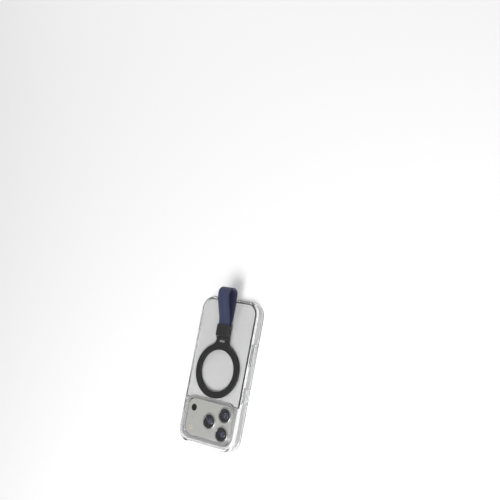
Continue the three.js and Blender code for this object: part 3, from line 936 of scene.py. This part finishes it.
def build_housing():
    s = bpy.context.scene.case_sizes
    p = bpy.context.scene.phone_sizes
    front = PHONE_LOW.z
    body = slab("housing_shell", PHONE_WIDTH, PHONE_LENGTH, p.corner, front, PHONE_BACK, steps=24)
    round_rim(body, PHONE_BACK, p.edge_round, 8)
    round_rim(body, front, p.edge_round, 8)
    plateau_top = PHONE_HIGH.z
    plateau = cutout_slab(
        "plateau", -p.plateau_gap, PHONE_BACK - 3 * p.plateau_edge, plateau_top, 20
    )
    round_rim(plateau, plateau_top, p.plateau_edge, 5)
    join(body, plateau)
    low, high = span("phone_display")
    pocket = slab(
        "pocket",
        high.x - low.x + 2 * s.seam,
        high.y - low.y + 2 * s.seam,
        p.corner - (PHONE_WIDTH - (high.x - low.x)) / 2 + s.seam,
        0,
        high.z,
    )
    cut(body, pocket)
    for name in BUTTONS:
        low, high = span(f"{name}_button")
        inner = side_reach(f"{name}_button")[1] - p.button_room
        gap = p.window_gap
        corner = (high.z - low.z) / 2 + gap - 0.01 * MM
        cut(body, side_pill("well", f"{name}_button", gap, inner, PHONE_WIDTH / 2 + MM, corner))
    for window in ("sensor_window", "flash_window"):
        low, high = span(window)
        radius = (high.x - low.x) / 2 + p.window_gap
        cut(body, disc("well", middle(window).xy, radius, low.z, plateau_top + MM))
    for index in (1, 2, 3):
        centre = middle(f"lens_cover_{index}")
        radius = (span("lens_cover_1")[1].x - span("lens_cover_1")[0].x) / 2 - 0.75 * MM
        floor = centre.z - p.barrel_depth - 0.8 * MM
        cut(body, disc("well", centre.xy, radius, floor, plateau_top + MM, 64))
    mic = (middle("sensor_window").x, middle("lens_cover_2").y)
    cut(body, disc("mic", mic, p.mic_hole, plateau_top - p.mic_depth, plateau_top + MM, 24))
    end = CASE_Y - PHONE_LENGTH / 2
    inside = end + p.socket_depth
    cut(body, end_pill("socket", p.socket_width, p.socket_height, 0, end - MM, inside))
    drill_length = 2.2 * MM
    for side in (-1, 1):
        for step in range(-2, 3):
            x = side * p.grille_centre + step * p.grille_pitch
            drill = start(
                "drill",
                bpy.ops.mesh.primitive_cylinder_add,
                vertices=20,
                radius=p.grille_hole,
                depth=drill_length,
                location=(x, end + p.grille_depth - drill_length / 2, PHONE_MIDDLE),
                rotation=(math.pi / 2, 0, 0),
            )
            cut(body, drill)
    smooth(body)
    fit(body, blasted_metal(), nodes=["phone_housing"])


def build_display():
    p = bpy.context.scene.phone_sizes
    looks = bpy.context.scene.finishes
    low, high = span("phone_display")
    glass = slab(
        "display_glass",
        high.x - low.x,
        high.y - low.y,
        p.corner - (PHONE_WIDTH - (high.x - low.x)) / 2,
        low.z,
        high.z,
        steps=24,
    )
    round_rim(glass, low.z, p.display_edge, 3)
    smooth(glass)
    half = (high - low) / 2

    def build(tree):
        parts = node(tree, "ShaderNodeSeparateXYZ", {0: place(tree)})
        x = calc(tree, "ABSOLUTE", parts.outputs[0])
        y = calc(tree, "ABSOLUTE", calc(tree, "SUBTRACT", parts.outputs[1], CASE_Y))
        past_x = between(tree, x, half.x - 1.5 * MM, half.x - 1.4 * MM)
        past_y = between(tree, y, half.y - 1.5 * MM, half.y - 1.4 * MM)
        border = calc(tree, "MAXIMUM", past_x, past_y)
        base = blend_colours(tree, border, (0.012, 0.013, 0.016), looks.glass_black)
        return {"Base Color": base, "Roughness": handled(tree, 30.0, 0.06, 0.03)}

    dark = material("Display glass", looks.glass_black, {"IOR": 1.52, "Coat Weight": 0.5}, build)
    fit(glass, dark, nodes=["phone_display"])


def build_buttons():
    looks = bpy.context.scene.finishes
    edge = bpy.context.scene.phone_sizes.button_edge
    metal = polished_metal("Button metal", looks.polished, 0.3)
    for name in BUTTONS:
        low, high = span(f"{name}_button")
        side, inner, outer = side_reach(f"{name}_button")
        corner = (high.z - low.z) / 2 - 0.01 * MM
        key = side_pill(f"{name}_key", f"{name}_button", 0, inner, outer, corner)
        bevel(key, lambda at: near(at.x, side * outer), edge, 3)
        smooth(key, 40)
        fit(key, metal, f"{name}_press", [f"{name}_button"])


# Steps of a lens barrel: inward from its wall and down from its cover, in millimetres
BARREL_STEPS = ((0.9, -0.1), (1.0, 0.35), (1.4, 0.5), (1.5, 0.9), (2.1, 1.1))


def build_lenses():
    p = bpy.context.scene.phone_sizes
    looks = bpy.context.scene.finishes
    low, high = span("lens_bezel_1")
    outer = (high.x - low.x) / 2
    top = high.z
    base = low.z
    cover_low, cover_high = span("lens_cover_1")
    radius = (cover_high.x - cover_low.x) / 2
    wall = outer - radius - p.window_gap
    edge = 0.3 * MM
    centre = middle("lens_cover_1").xy
    inner = outer - wall
    ledge = radius - 0.8 * MM
    bezel_profile = [
        (ledge, base),
        (outer, base),
        *arc((outer - edge, top - edge), edge, 0, math.pi / 2, 5),
        *arc((inner + edge / 2, top - edge / 2), edge / 2, math.pi / 2, math.pi, 3),
        (inner, cover_low.z),
        (ledge, cover_low.z),
    ]
    bezel = turned("bezel_ring_1", centre, bezel_profile)
    glass_profile = [
        (0, cover_low.z + 0.12 * MM),
        (radius, cover_low.z + 0.12 * MM),
        (radius, cover_high.z - 0.2 * MM),
        (radius - 0.15 * MM, cover_high.z - 0.05 * MM),
        (radius * 0.75, cover_high.z - 0.01 * MM),
        (radius * 0.4, cover_high.z),
        (0, cover_high.z),
    ]
    cover = turned("lens_glass_1", centre, glass_profile, closed=False)
    deep = cover_low.z - p.barrel_depth
    wide = ledge - 0.05 * MM
    barrel_profile = [
        (0, deep - 0.3 * MM),
        (wide, deep - 0.3 * MM),
        (wide, cover_low.z + 0.02 * MM),
        (radius - 0.05 * MM, cover_low.z + 0.02 * MM),
        (radius - 0.05 * MM, cover_low.z + 0.1 * MM),
        *((wide - inward * MM, cover_low.z - down * MM) for inward, down in BARREL_STEPS),
        (wide - 2.3 * MM, deep),
        (0, deep),
    ]
    barrel = turned("lens_barrel_1", centre, barrel_profile, closed=False)
    reach = wide - 2.35 * MM
    element_profile = [(0, deep + 0.02 * MM), (reach, deep + 0.02 * MM)]
    for i in range(1, 9):
        angle = math.pi / 2 * i / 8
        element_profile.append(
            (reach * math.cos(angle), deep + 0.02 * MM + 0.9 * MM * math.sin(angle))
        )
    element_profile[-1] = (0, element_profile[-1][1])
    element = turned("lens_element_1", centre, element_profile, closed=False)
    for piece in (bezel, cover, barrel, element):
        smooth(piece, 40)
    metal = polished_metal("Bezel metal", looks.polished, 0.16)
    glass = material(
        "Lens cover glass",
        (0.97, 0.975, 0.98),
        {"Transmission Weight": 1.0, "IOR": 1.5},
        lambda tree: {
            "Roughness": calc(tree, "MULTIPLY", smudges(tree, 90.0)["Patches"], 0.03)
        },
    )
    for index in (1, 2, 3):
        at = middle(f"lens_cover_{index}").xy
        shift = Vector((at.x - centre.x, at.y - centre.y, 0))
        group = (bezel, cover, barrel, element)
        if index > 1:
            group = [
                copy_to(piece, f"{piece.name[:-2]}_{index}", shift) for piece in group
            ]
        black = moulded_rings(f"Lens barrel {index}", at)
        # Each lens element gets a painted bluish highlight in its middle
        painted_highlight_glass = black_glass(
            f"Lens element {index}", looks.glass_black, at, 0.5 * MM, looks.painted_lens_highlight, reach
        )
        fit(group[0], metal, nodes=[f"lens_bezel_{index}"])
        fit(group[1], glass, nodes=[f"lens_cover_{index}"])
        fit(group[2], black)
        fit(group[3], painted_highlight_glass)
        group[1].visible_shadow = False


def moulded_rings(name, centre):
    looks = bpy.context.scene.finishes

    def build(tree):
        turns = rings(tree, centre, 0.22 * MM)
        base = blend_colours(tree, turns["Height"], (0.002, 0.002, 0.0025), looks.glass_black)
        return {"Base Color": base, "Normal": bump(tree, turns["Height"], 0.5, 0.00005)}

    values = {"Roughness": 0.45, "Specular IOR Level": 0.2}
    return material(name, looks.glass_black, values, build)


def build_windows():
    looks = bpy.context.scene.finishes
    for window, finish, slot in (
        ("sensor_window", "sensor", "lens_glass"),
        ("flash_window", "flash", "flash_lens"),
    ):
        low, high = span(window)
        centre = middle(window).xy
        radius = (high.x - low.x) / 2
        edge = 0.12 * MM
        profile = [
            (0, low.z),
            (radius, low.z),
            *arc((radius - edge, high.z - edge), edge, 0, math.pi / 2, 3),
            (radius * 0.5, high.z - 0.01 * MM),
            (0, high.z - 0.01 * MM),
        ]
        pane = turned(f"{finish}_pane", centre, profile, 64, closed=False)
        smooth(pane, 40)
        if finish == "sensor":
            look = black_glass("Sensor glass", looks.glass_black, centre, 0.5 * MM)
        else:
            look = flash_glass(centre, radius)
        fit(pane, look, nodes=[window])


def flash_glass(centre, radius):
    """Warm diffuser with fine rings and a metal-white rim."""

    def build(tree):
        turns = rings(tree, centre, 0.35 * MM)
        inside = between(tree, turns["Radius"], radius * 0.62, radius * 0.66)
        warm = blend_colours(tree, turns["Height"], (0.42, 0.39, 0.27), (0.58, 0.56, 0.45))
        base = blend_colours(tree, inside, warm, (0.5, 0.5, 0.47))
        return {"Base Color": base, "Normal": bump(tree, turns["Height"], 0.6, 0.0001)}

    values = {"Roughness": 0.22, "Coat Weight": 0.8, "Coat Roughness": 0.03}
    return material("Flash diffuser", (0.85, 0.82, 0.7), values, build)


# Ring grip


def ring_profile(low, top, inner, outer, edge, groove_inner, groove_outer, groove_top):
    return [
        (inner, low),
        (groove_inner, low),
        (groove_inner, groove_top),
        (groove_outer, groove_top),
        (groove_outer, low),
        (outer, low),
        *arc((outer - edge, top - edge), edge, 0, math.pi / 2, 6),
        *arc((inner + edge, top - edge), edge, math.pi / 2, math.pi, 6),
    ]


def build_grip():
    g = bpy.context.scene.grip_sizes
    looks = bpy.context.scene.finishes
    gap = bpy.context.scene.case_sizes.magnet_gap
    low = PAD_TOP
    top = BACK_FACE + g.thickness
    magnet_inner, magnet_outer = band()
    bore = magnet_outer + gap
    groove_top = span("grip_yoke")[1].z + gap / 2
    centre = RING_CENTRE.xy
    profile = ring_profile(
        low, top, g.inner, g.outer, g.edge, magnet_inner - gap, bore, groove_top
    )
    ring = turned("grip_band", centre, profile, 128)
    neck = neck_slab(low, top)
    inside_wall = g.outer - 1.15 * g.edge
    cut(neck, disc("bore", centre, inside_wall, 0, CUTTER_TOP, 100))
    join(ring, neck)
    end = span("grip_ring")[0].y
    neck_end = centre.y - g.outer - g.neck_length
    tongue_z = top + g.neck_rise - g.tongue_drop
    tongue = block(
        "tongue",
        (-g.tongue_half, end, tongue_z),
        (g.tongue_half, neck_end + MM, tongue_z + g.tongue_thickness),
    )
    bevel_along(tongue, Y, 0.2 * MM, 3)
    join(ring, tongue)
    smooth(ring, 35)
    plastic = moulded("Grip plastic", looks.grip, 0.52, 2400.0, 0.35)
    fit(ring, plastic, nodes=["grip_ring"])


def neck_slab(low, top):
    """The neck in plan, with hollow fillets to the ring, then its raised end."""
    g = bpy.context.scene.grip_sizes
    centre = RING_CENTRE.xy
    half = g.neck_half
    fillet = g.neck_fillet
    reach = half + fillet
    fillet_y = -math.sqrt((g.outer + fillet) ** 2 - reach**2)
    meet = fillet_y * g.outer / (g.outer + fillet)
    end = centre.y - g.outer - g.neck_length
    neck = block("neck", (-reach, end, low), (reach, centre.y + meet, top))
    for side in (-1, 1):
        round_cut = disc("round", (side * reach, centre.y + fillet_y), fillet, 0, CUTTER_TOP, 96)
        straight = block(
            "straight",
            (min(side * half, side * 2 * reach), end - MM, 0),
            (max(side * half, side * 2 * reach), centre.y + fillet_y, CUTTER_TOP),
        )
        cut(neck, round_cut, straight)
    stations = 10
    for i in range(1, stations + 1):
        edit(neck, "VERT")
        bpy.ops.mesh.select_all(action="SELECT")
        y = end + g.neck_rise_length * i / stations
        bpy.ops.mesh.bisect(plane_co=(0, y, 0), plane_no=(0, 1, 0))
        leave_edit_mode()
    for vertex in neck.data.vertices:
        run = (vertex.co.y - end) / g.neck_rise_length
        if near(vertex.co.z, top) and run < 1:
            vertex.co.z += g.neck_rise * (1 + math.cos(math.pi * max(run, 0))) / 2
    mesh = edit(neck)
    for edge in mesh.edges:
        ends = [vertex.co for vertex in edge.verts]
        high_up = all(at.z > top - TINY for at in ends)
        outside = len(edge.link_faces) == 2 and edge.calc_face_angle(0) > math.radians(60)
        free = all(at.y < centre.y + meet - TINY for at in ends) or abs(
            ends[0].y - ends[1].y
        ) > TINY
        if high_up and outside and free:
            edge.select_set(True)
    bmesh.update_edit_mesh(neck.data)
    bpy.ops.mesh.bevel(offset=g.edge, segments=5, profile=0.5, clamp_overlap=False)
    leave_edit_mode()
    return neck


def build_badge():
    """A small bare plate on the neck, just short of its slope."""
    g = bpy.context.scene.grip_sizes
    looks = bpy.context.scene.finishes
    top = BACK_FACE + g.thickness
    slope = RING_CENTRE.y - g.outer - g.neck_length + g.neck_rise_length
    plate = slab(
        "neck_plate",
        g.badge_width,
        g.badge_length,
        0.45 * MM,
        top - 0.1 * MM,
        top + g.badge_thickness,
        y=slope + g.badge_length / 2 + 0.15 * MM,
        steps=6,
    )
    round_rim(plate, top + g.badge_thickness, 0.06 * MM, 2)
    smooth(plate)
    fit(plate, polished_metal("Plate metal", looks.polished, 0.28))


def build_keeper():
    g = bpy.context.scene.grip_sizes
    looks = bpy.context.scene.finishes
    low, high = span("strap_keeper")
    sleeve = block("keeper_sleeve", low, high)
    bevel_along(sleeve, Y, g.keeper_corner, 8)
    bevel(sleeve, lambda at: near(at.y, low.y), 0.35 * MM, 4)
    bevel(sleeve, lambda at: near(at.y, high.y), 0.2 * MM, 3)
    hollow = block(
        "hollow",
        (low.x + g.keeper_side, low.y - MM, low.z + g.keeper_wall),
        (high.x - g.keeper_side, high.y + MM, high.z - g.keeper_wall),
    )
    cut(sleeve, hollow)
    pitch = (high.x - low.x - 2 * g.keeper_corner) / g.keeper_ribs
    first = -(g.keeper_ribs - 1) / 2 * pitch
    groove = block(
        "groove",
        (first - g.rib_gap / 2, low.y + g.rib_margin, high.z - g.rib_depth),
        (first + g.rib_gap / 2, high.y - g.rib_margin, high.z + g.rib_depth),
    )
    bevel_along(groove, Z, g.rib_gap * 0.45, 4)
    grooves = [
        copy_to(groove, f"groove_{i}", Vector((i * pitch, 0, 0))) for i in range(1, g.keeper_ribs)
    ]
    cut(sleeve, groove, *grooves)
    bevel(
        sleeve,
        lambda at: near(at.z, high.z)
        and low.y + g.rib_margin - TINY < at.y < high.y - g.rib_margin + TINY,
        0.12 * MM,
        2,
    )
    smooth(sleeve, 40)
    rubber = moulded("Keeper rubber", looks.keeper, 0.6, 1500.0, 0.5)
    fit(sleeve, rubber, nodes=["strap_keeper"])


def strap_line():
    """The strap's middle line, from its upper end in the keeper to its lower end."""
    g = bpy.context.scene.grip_sizes
    keeper_low, keeper_high = span("strap_keeper")
    half = g.strap_thickness / 2
    upper = keeper_high.z - g.keeper_wall - STRAP_CLEARANCE - half
    lower = keeper_low.z + g.keeper_wall + STRAP_CLEARANCE + half
    back = span("strap_loop")[0].z + half
    mouth = keeper_low.y
    inside = keeper_high.y - g.strap_setback
    loop_y = CASE_LOW.y - g.loop_overhang
    loop_z = back + g.loop_radius
    top_angle = math.pi / 2 - g.loop_slope
    top = (
        loop_y + g.loop_radius * math.cos(top_angle),
        loop_z + g.loop_radius * math.sin(top_angle),
    )
    points = [(inside, upper), (mouth, upper)]
    points += bezier(
        (mouth, upper),
        (mouth - FRONT_LEAD, upper),
        (top[0] + FRONT_TAIL, top[1] - FRONT_TAIL * math.tan(g.loop_slope)),
        top,
        40,
    )
    points += arc((loop_y, loop_z), g.loop_radius, top_angle, 1.5 * math.pi, 40)[1:]
    points.append((mouth - BACK_LEAD, back))
    points += bezier(
        (mouth - BACK_LEAD, back),
        (mouth - BACK_LEAD / 2, back),
        (mouth - BACK_LEAD / 2, lower),
        (mouth, lower),
        16,
    )
    points.append((inside, lower))
    return [Vector(point) for point in points]


def bezier(a, b, c, d, steps):
    points = []
    for i in range(1, steps + 1):
        t = i / steps
        weights = ((1 - t) ** 3, 3 * t * (1 - t) ** 2, 3 * t * t * (1 - t), t**3)
        points.append(
            tuple(sum(w * p[k] for w, p in zip(weights, (a, b, c, d))) for k in (0, 1))
        )
    return points


def build_strap():
    g = bpy.context.scene.grip_sizes
    line = strap_line()
    runs = [0.0]
    for before, after in zip(line, line[1:]):
        runs.append(runs[-1] + (after - before).length)
    total = runs[-1]
    half = g.strap_thickness / 2
    strap = block(
        "woven_strap",
        (-g.strap_width / 2, 0, -half),
        (g.strap_width / 2, total, half),
    )
    bevel_along(strap, Y, half * 0.9, 5)
    stations = int(total / STRAP_STEP)
    edit(strap)
    for i in range(1, stations):
        bpy.ops.mesh.select_all(action="SELECT")
        bpy.ops.mesh.bisect(plane_co=(0, total * i / stations, 0), plane_no=(0, 1, 0))
    for x in (-0.4, -0.25, 0, 0.25, 0.4):
        bpy.ops.mesh.select_all(action="SELECT")
        bpy.ops.mesh.bisect(plane_co=(g.strap_width * x, 0, 0), plane_no=(1, 0, 0))
    leave_edit_mode()
    cloth = strap.data.uv_layers.new(name="strap")
    for loop in strap.data.loops:
        at = strap.data.vertices[loop.vertex_index].co
        cloth.data[loop.index].uv = (at.x, at.y)
    index = 0
    order = sorted(strap.data.vertices, key=lambda vertex: vertex.co.y)
    for vertex in order:
        x, run, height = vertex.co
        while index < len(runs) - 2 and run > runs[index + 1]:
            index += 1
        share = (run - runs[index]) / (runs[index + 1] - runs[index])
        before = line[max(index - 1, 0)]
        here, ahead = line[index], line[index + 1]
        after = line[min(index + 2, len(line) - 1)]
        point = here.lerp(ahead, share)
        first = (ahead - before).normalized()
        last = (after - here).normalized()
        along = first.lerp(last, share).normalized()
        normal = Vector((along.y, -along.x))
        out = point + normal * height
        vertex.co = (x, out.x, out.y)
    edit(strap)
    bpy.ops.mesh.select_all(action="SELECT")
    bpy.ops.mesh.normals_make_consistent(inside=False)
    leave_edit_mode()
    smooth(strap, 60)
    fit(strap, woven(), nodes=["strap_loop"])


def woven():
    looks = bpy.context.scene.finishes
    g = bpy.context.scene.grip_sizes

    def build(tree):
        cloth = weave(tree, 0.62 * MM)
        fuzz = grain(tree, 5200.0, 0.6)
        edge = between(
            tree, cloth["Edge"], g.strap_width / 2 - 1.1 * MM, g.strap_width / 2 - 0.9 * MM
        )
        threads = calc(tree, "MULTIPLY", cloth["Height"], between(tree, edge, 0, 1, 1.0, 0.6))
        # Painted light and shade: the colour follows the weave's height, darker in the gaps
        # between the yarns and lighter on their tops, and darker along each edge where the yarns
        # are flatter
        lit = calc(tree, "ADD", threads, calc(tree, "MULTIPLY", fuzz["Height"], 0.35), True)
        base = blend_colours(tree, lit, looks.strap_gap_shade, looks.strap)
        height = calc(tree, "ADD", threads, calc(tree, "MULTIPLY", fuzz["Height"], 0.3))
        return {"Base Color": base, "Normal": bump(tree, height, 0.8, 0.00018)}

    values = {"Roughness": 0.85, "Sheen Weight": 0.25, "Sheen Roughness": 0.45}
    return material("Woven strap", looks.strap, values, build)


def dress_frame():
    """Give every node of the frame that still shows its own finish."""
    nickel = polished_metal("Magnet nickel", (0.52, 0.53, 0.54), 0.26)
    steel = polished_metal("Yoke steel", (0.36, 0.36, 0.37), 0.34)
    film = moulded("Cover film", (0.62, 0.63, 0.64), 0.4, 900.0, 0.1)
    pad = moulded("Grip pad", (0.02, 0.02, 0.02), 0.82, 900.0, 0.6)
    contact = moulded("Contact plastic", (0.03, 0.03, 0.032), 0.45, 1800.0, 0.2)
    chosen = {
        "magnet_cover": film,
        "grip_pad": pad,
        "grip_yoke": steel,
        "charging_contact": contact,
    }
    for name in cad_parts:
        if "_magnet_" in name:
            chosen[name] = nickel
    for name, finish in chosen.items():
        obj = bpy.data.objects[name]
        obj.data.materials.clear()
        obj.data.materials.append(finish)


# Stage

# Each light's name, its place and the width of its panel
LIGHTS = (
    ("key", (-0.3, 0.6, 0.95), 0.6),
    ("fill", (0.35, -0.95, 0.7), 0.7),
    ("side", (-0.95, 0.25, 0.9), 0.5),
)


def build_stage():
    st = bpy.context.scene.stage_settings
    looks = bpy.context.scene.finishes
    floor = start("floor", bpy.ops.mesh.primitive_plane_add, size=6.0, location=(0, 0, -0.0002))
    floor.data.materials.append(
        material("Floor", looks.floor, {"Roughness": 0.9, "Specular IOR Level": 0.1})
    )
    world = bpy.data.worlds.new("Studio")
    world.use_nodes = True
    tree = world.node_tree
    way = node(tree, "ShaderNodeTexCoord").outputs["Generated"]
    height = calc(tree, "ABSOLUTE", node(tree, "ShaderNodeSeparateXYZ", {0: way}).outputs[2])
    glow = between(tree, height, 0.05, 0.5, st.horizon, st.zenith)
    tree.links.new(glow, tree.nodes["Background"].inputs["Strength"])
    tree.nodes["Background"].inputs["Color"].default_value = (1, 1, 1, 1)
    bpy.context.scene.world = world
    for name, place_at, size in LIGHTS:
        add_light(name, place_at, st.key if name == "key" else st.fill, size)
    camera = bpy.data.objects.new("camera", bpy.data.cameras.new("camera"))
    bpy.context.collection.objects.link(camera)
    place_at = Vector(st.camera_place)
    look = (Vector(st.camera_aim) - place_at).to_track_quat("-Z", "Y")
    turn = look @ Quaternion((0, 0, 1), st.camera_roll)
    camera.matrix_world = Matrix.Translation(place_at) @ turn.to_matrix().to_4x4()
    camera.data.lens = st.lens
    camera.data.clip_start = 0.01
    bpy.context.scene.camera = camera
    bpy.context.scene.view_settings.view_transform = "Standard"


def add_light(name, place_at, power, size):
    light = bpy.data.lights.new(name, "AREA")
    light.energy = power
    light.size = size
    lamp = bpy.data.objects.new(name, light)
    lamp.location = place_at
    lamp.rotation_euler = (-Vector(place_at)).to_track_quat("-Z", "Y").to_euler()
    bpy.context.collection.objects.link(lamp)


# Operators


class AddBumper(bpy.types.Operator):
    """Add the soft clear frame of the case."""

    bl_idname = "phonecase.add_bumper"
    bl_label = "Bumper frame"

    def execute(self, context):
        build_bumper()
        return {"FINISHED"}


class AddPlate(bpy.types.Operator):
    """Add the hard clear back plate."""

    bl_idname = "phonecase.add_plate"
    bl_label = "Back plate"

    def execute(self, context):
        build_plate()
        return {"FINISHED"}


class AddCaps(bpy.types.Operator):
    """Add the clear caps over the side buttons."""

    bl_idname = "phonecase.add_caps"
    bl_label = "Button caps"

    def execute(self, context):
        build_caps()
        return {"FINISHED"}


class AddHousing(bpy.types.Operator):
    """Add the phone's metal housing with its camera plateau."""

    bl_idname = "phonecase.add_housing"
    bl_label = "Phone housing"

    def execute(self, context):
        build_housing()
        return {"FINISHED"}


class AddDisplay(bpy.types.Operator):
    """Add the phone's display glass."""

    bl_idname = "phonecase.add_display"
    bl_label = "Display"

    def execute(self, context):
        build_display()
        return {"FINISHED"}


class AddButtons(bpy.types.Operator):
    """Add the phone's side buttons."""

    bl_idname = "phonecase.add_buttons"
    bl_label = "Side buttons"

    def execute(self, context):
        build_buttons()
        return {"FINISHED"}


class AddLenses(bpy.types.Operator):
    """Add the three lenses with their bezels, covers and barrels."""

    bl_idname = "phonecase.add_lenses"
    bl_label = "Lenses"

    def execute(self, context):
        build_lenses()
        return {"FINISHED"}


class AddWindows(bpy.types.Operator):
    """Add the sensor's and the flash's windows."""

    bl_idname = "phonecase.add_windows"
    bl_label = "Sensor and flash"

    def execute(self, context):
        build_windows()
        return {"FINISHED"}


class AddGrip(bpy.types.Operator):
    """Add the ring grip with its neck."""

    bl_idname = "phonecase.add_grip"
    bl_label = "Ring grip"

    def execute(self, context):
        build_grip()
        return {"FINISHED"}


class AddNeckPlate(bpy.types.Operator):
    """Add the small bare plate on the neck."""

    bl_idname = "phonecase.add_neck_plate"
    bl_label = "Neck plate"

    def execute(self, context):
        build_badge()
        return {"FINISHED"}


class AddKeeper(bpy.types.Operator):
    """Add the ribbed keeper round the strap's ends."""

    bl_idname = "phonecase.add_keeper"
    bl_label = "Keeper"

    def execute(self, context):
        build_keeper()
        return {"FINISHED"}


class AddStrap(bpy.types.Operator):
    """Add the woven strap with its finger loop."""

    bl_idname = "phonecase.add_strap"
    bl_label = "Strap"

    def execute(self, context):
        build_strap()
        return {"FINISHED"}


class DressFrame(bpy.types.Operator):
    """Finish the magnets, the pad, the yoke and the contact blade."""

    bl_idname = "phonecase.dress_frame"
    bl_label = "Magnets and pad"

    def execute(self, context):
        dress_frame()
        return {"FINISHED"}


class AddStage(bpy.types.Operator):
    """Add the floor, the lights and the camera."""

    bl_idname = "phonecase.add_stage"
    bl_label = "Stage"

    def execute(self, context):
        build_stage()
        return {"FINISHED"}


OPERATORS = (
    AddBumper,
    AddPlate,
    AddCaps,
    AddHousing,
    AddDisplay,
    AddButtons,
    AddLenses,
    AddWindows,
    AddGrip,
    AddNeckPlate,
    AddKeeper,
    AddStrap,
    DressFrame,
    AddStage,
)


class CasePanel(bpy.types.Panel):
    """The pieces of the case, in the order in which they are added."""

    bl_label = "Phone case"
    bl_idname = "VIEW3D_PT_phone_case"
    bl_space_type = "VIEW_3D"
    bl_region_type = "UI"
    bl_category = "Phone case"

    def draw(self, context):
        for operator in OPERATORS:
            self.layout.operator(operator.bl_idname)


def register():
    for cls in (*GROUPS.values(), *OPERATORS, CasePanel):
        bpy.utils.register_class(cls)
    for name, group in GROUPS.items():
        setattr(bpy.types.Scene, name, PointerProperty(type=group))


def unregister():
    for name in GROUPS:
        delattr(bpy.types.Scene, name)
    for cls in (CasePanel, *reversed(OPERATORS), *reversed(list(GROUPS.values()))):
        bpy.utils.unregister_class(cls)


def main():
    register()
    for operator in OPERATORS:
        group, name = operator.bl_idname.split(".")
        getattr(getattr(bpy.ops, group), name)()


if __name__ == "__main__":
    main()
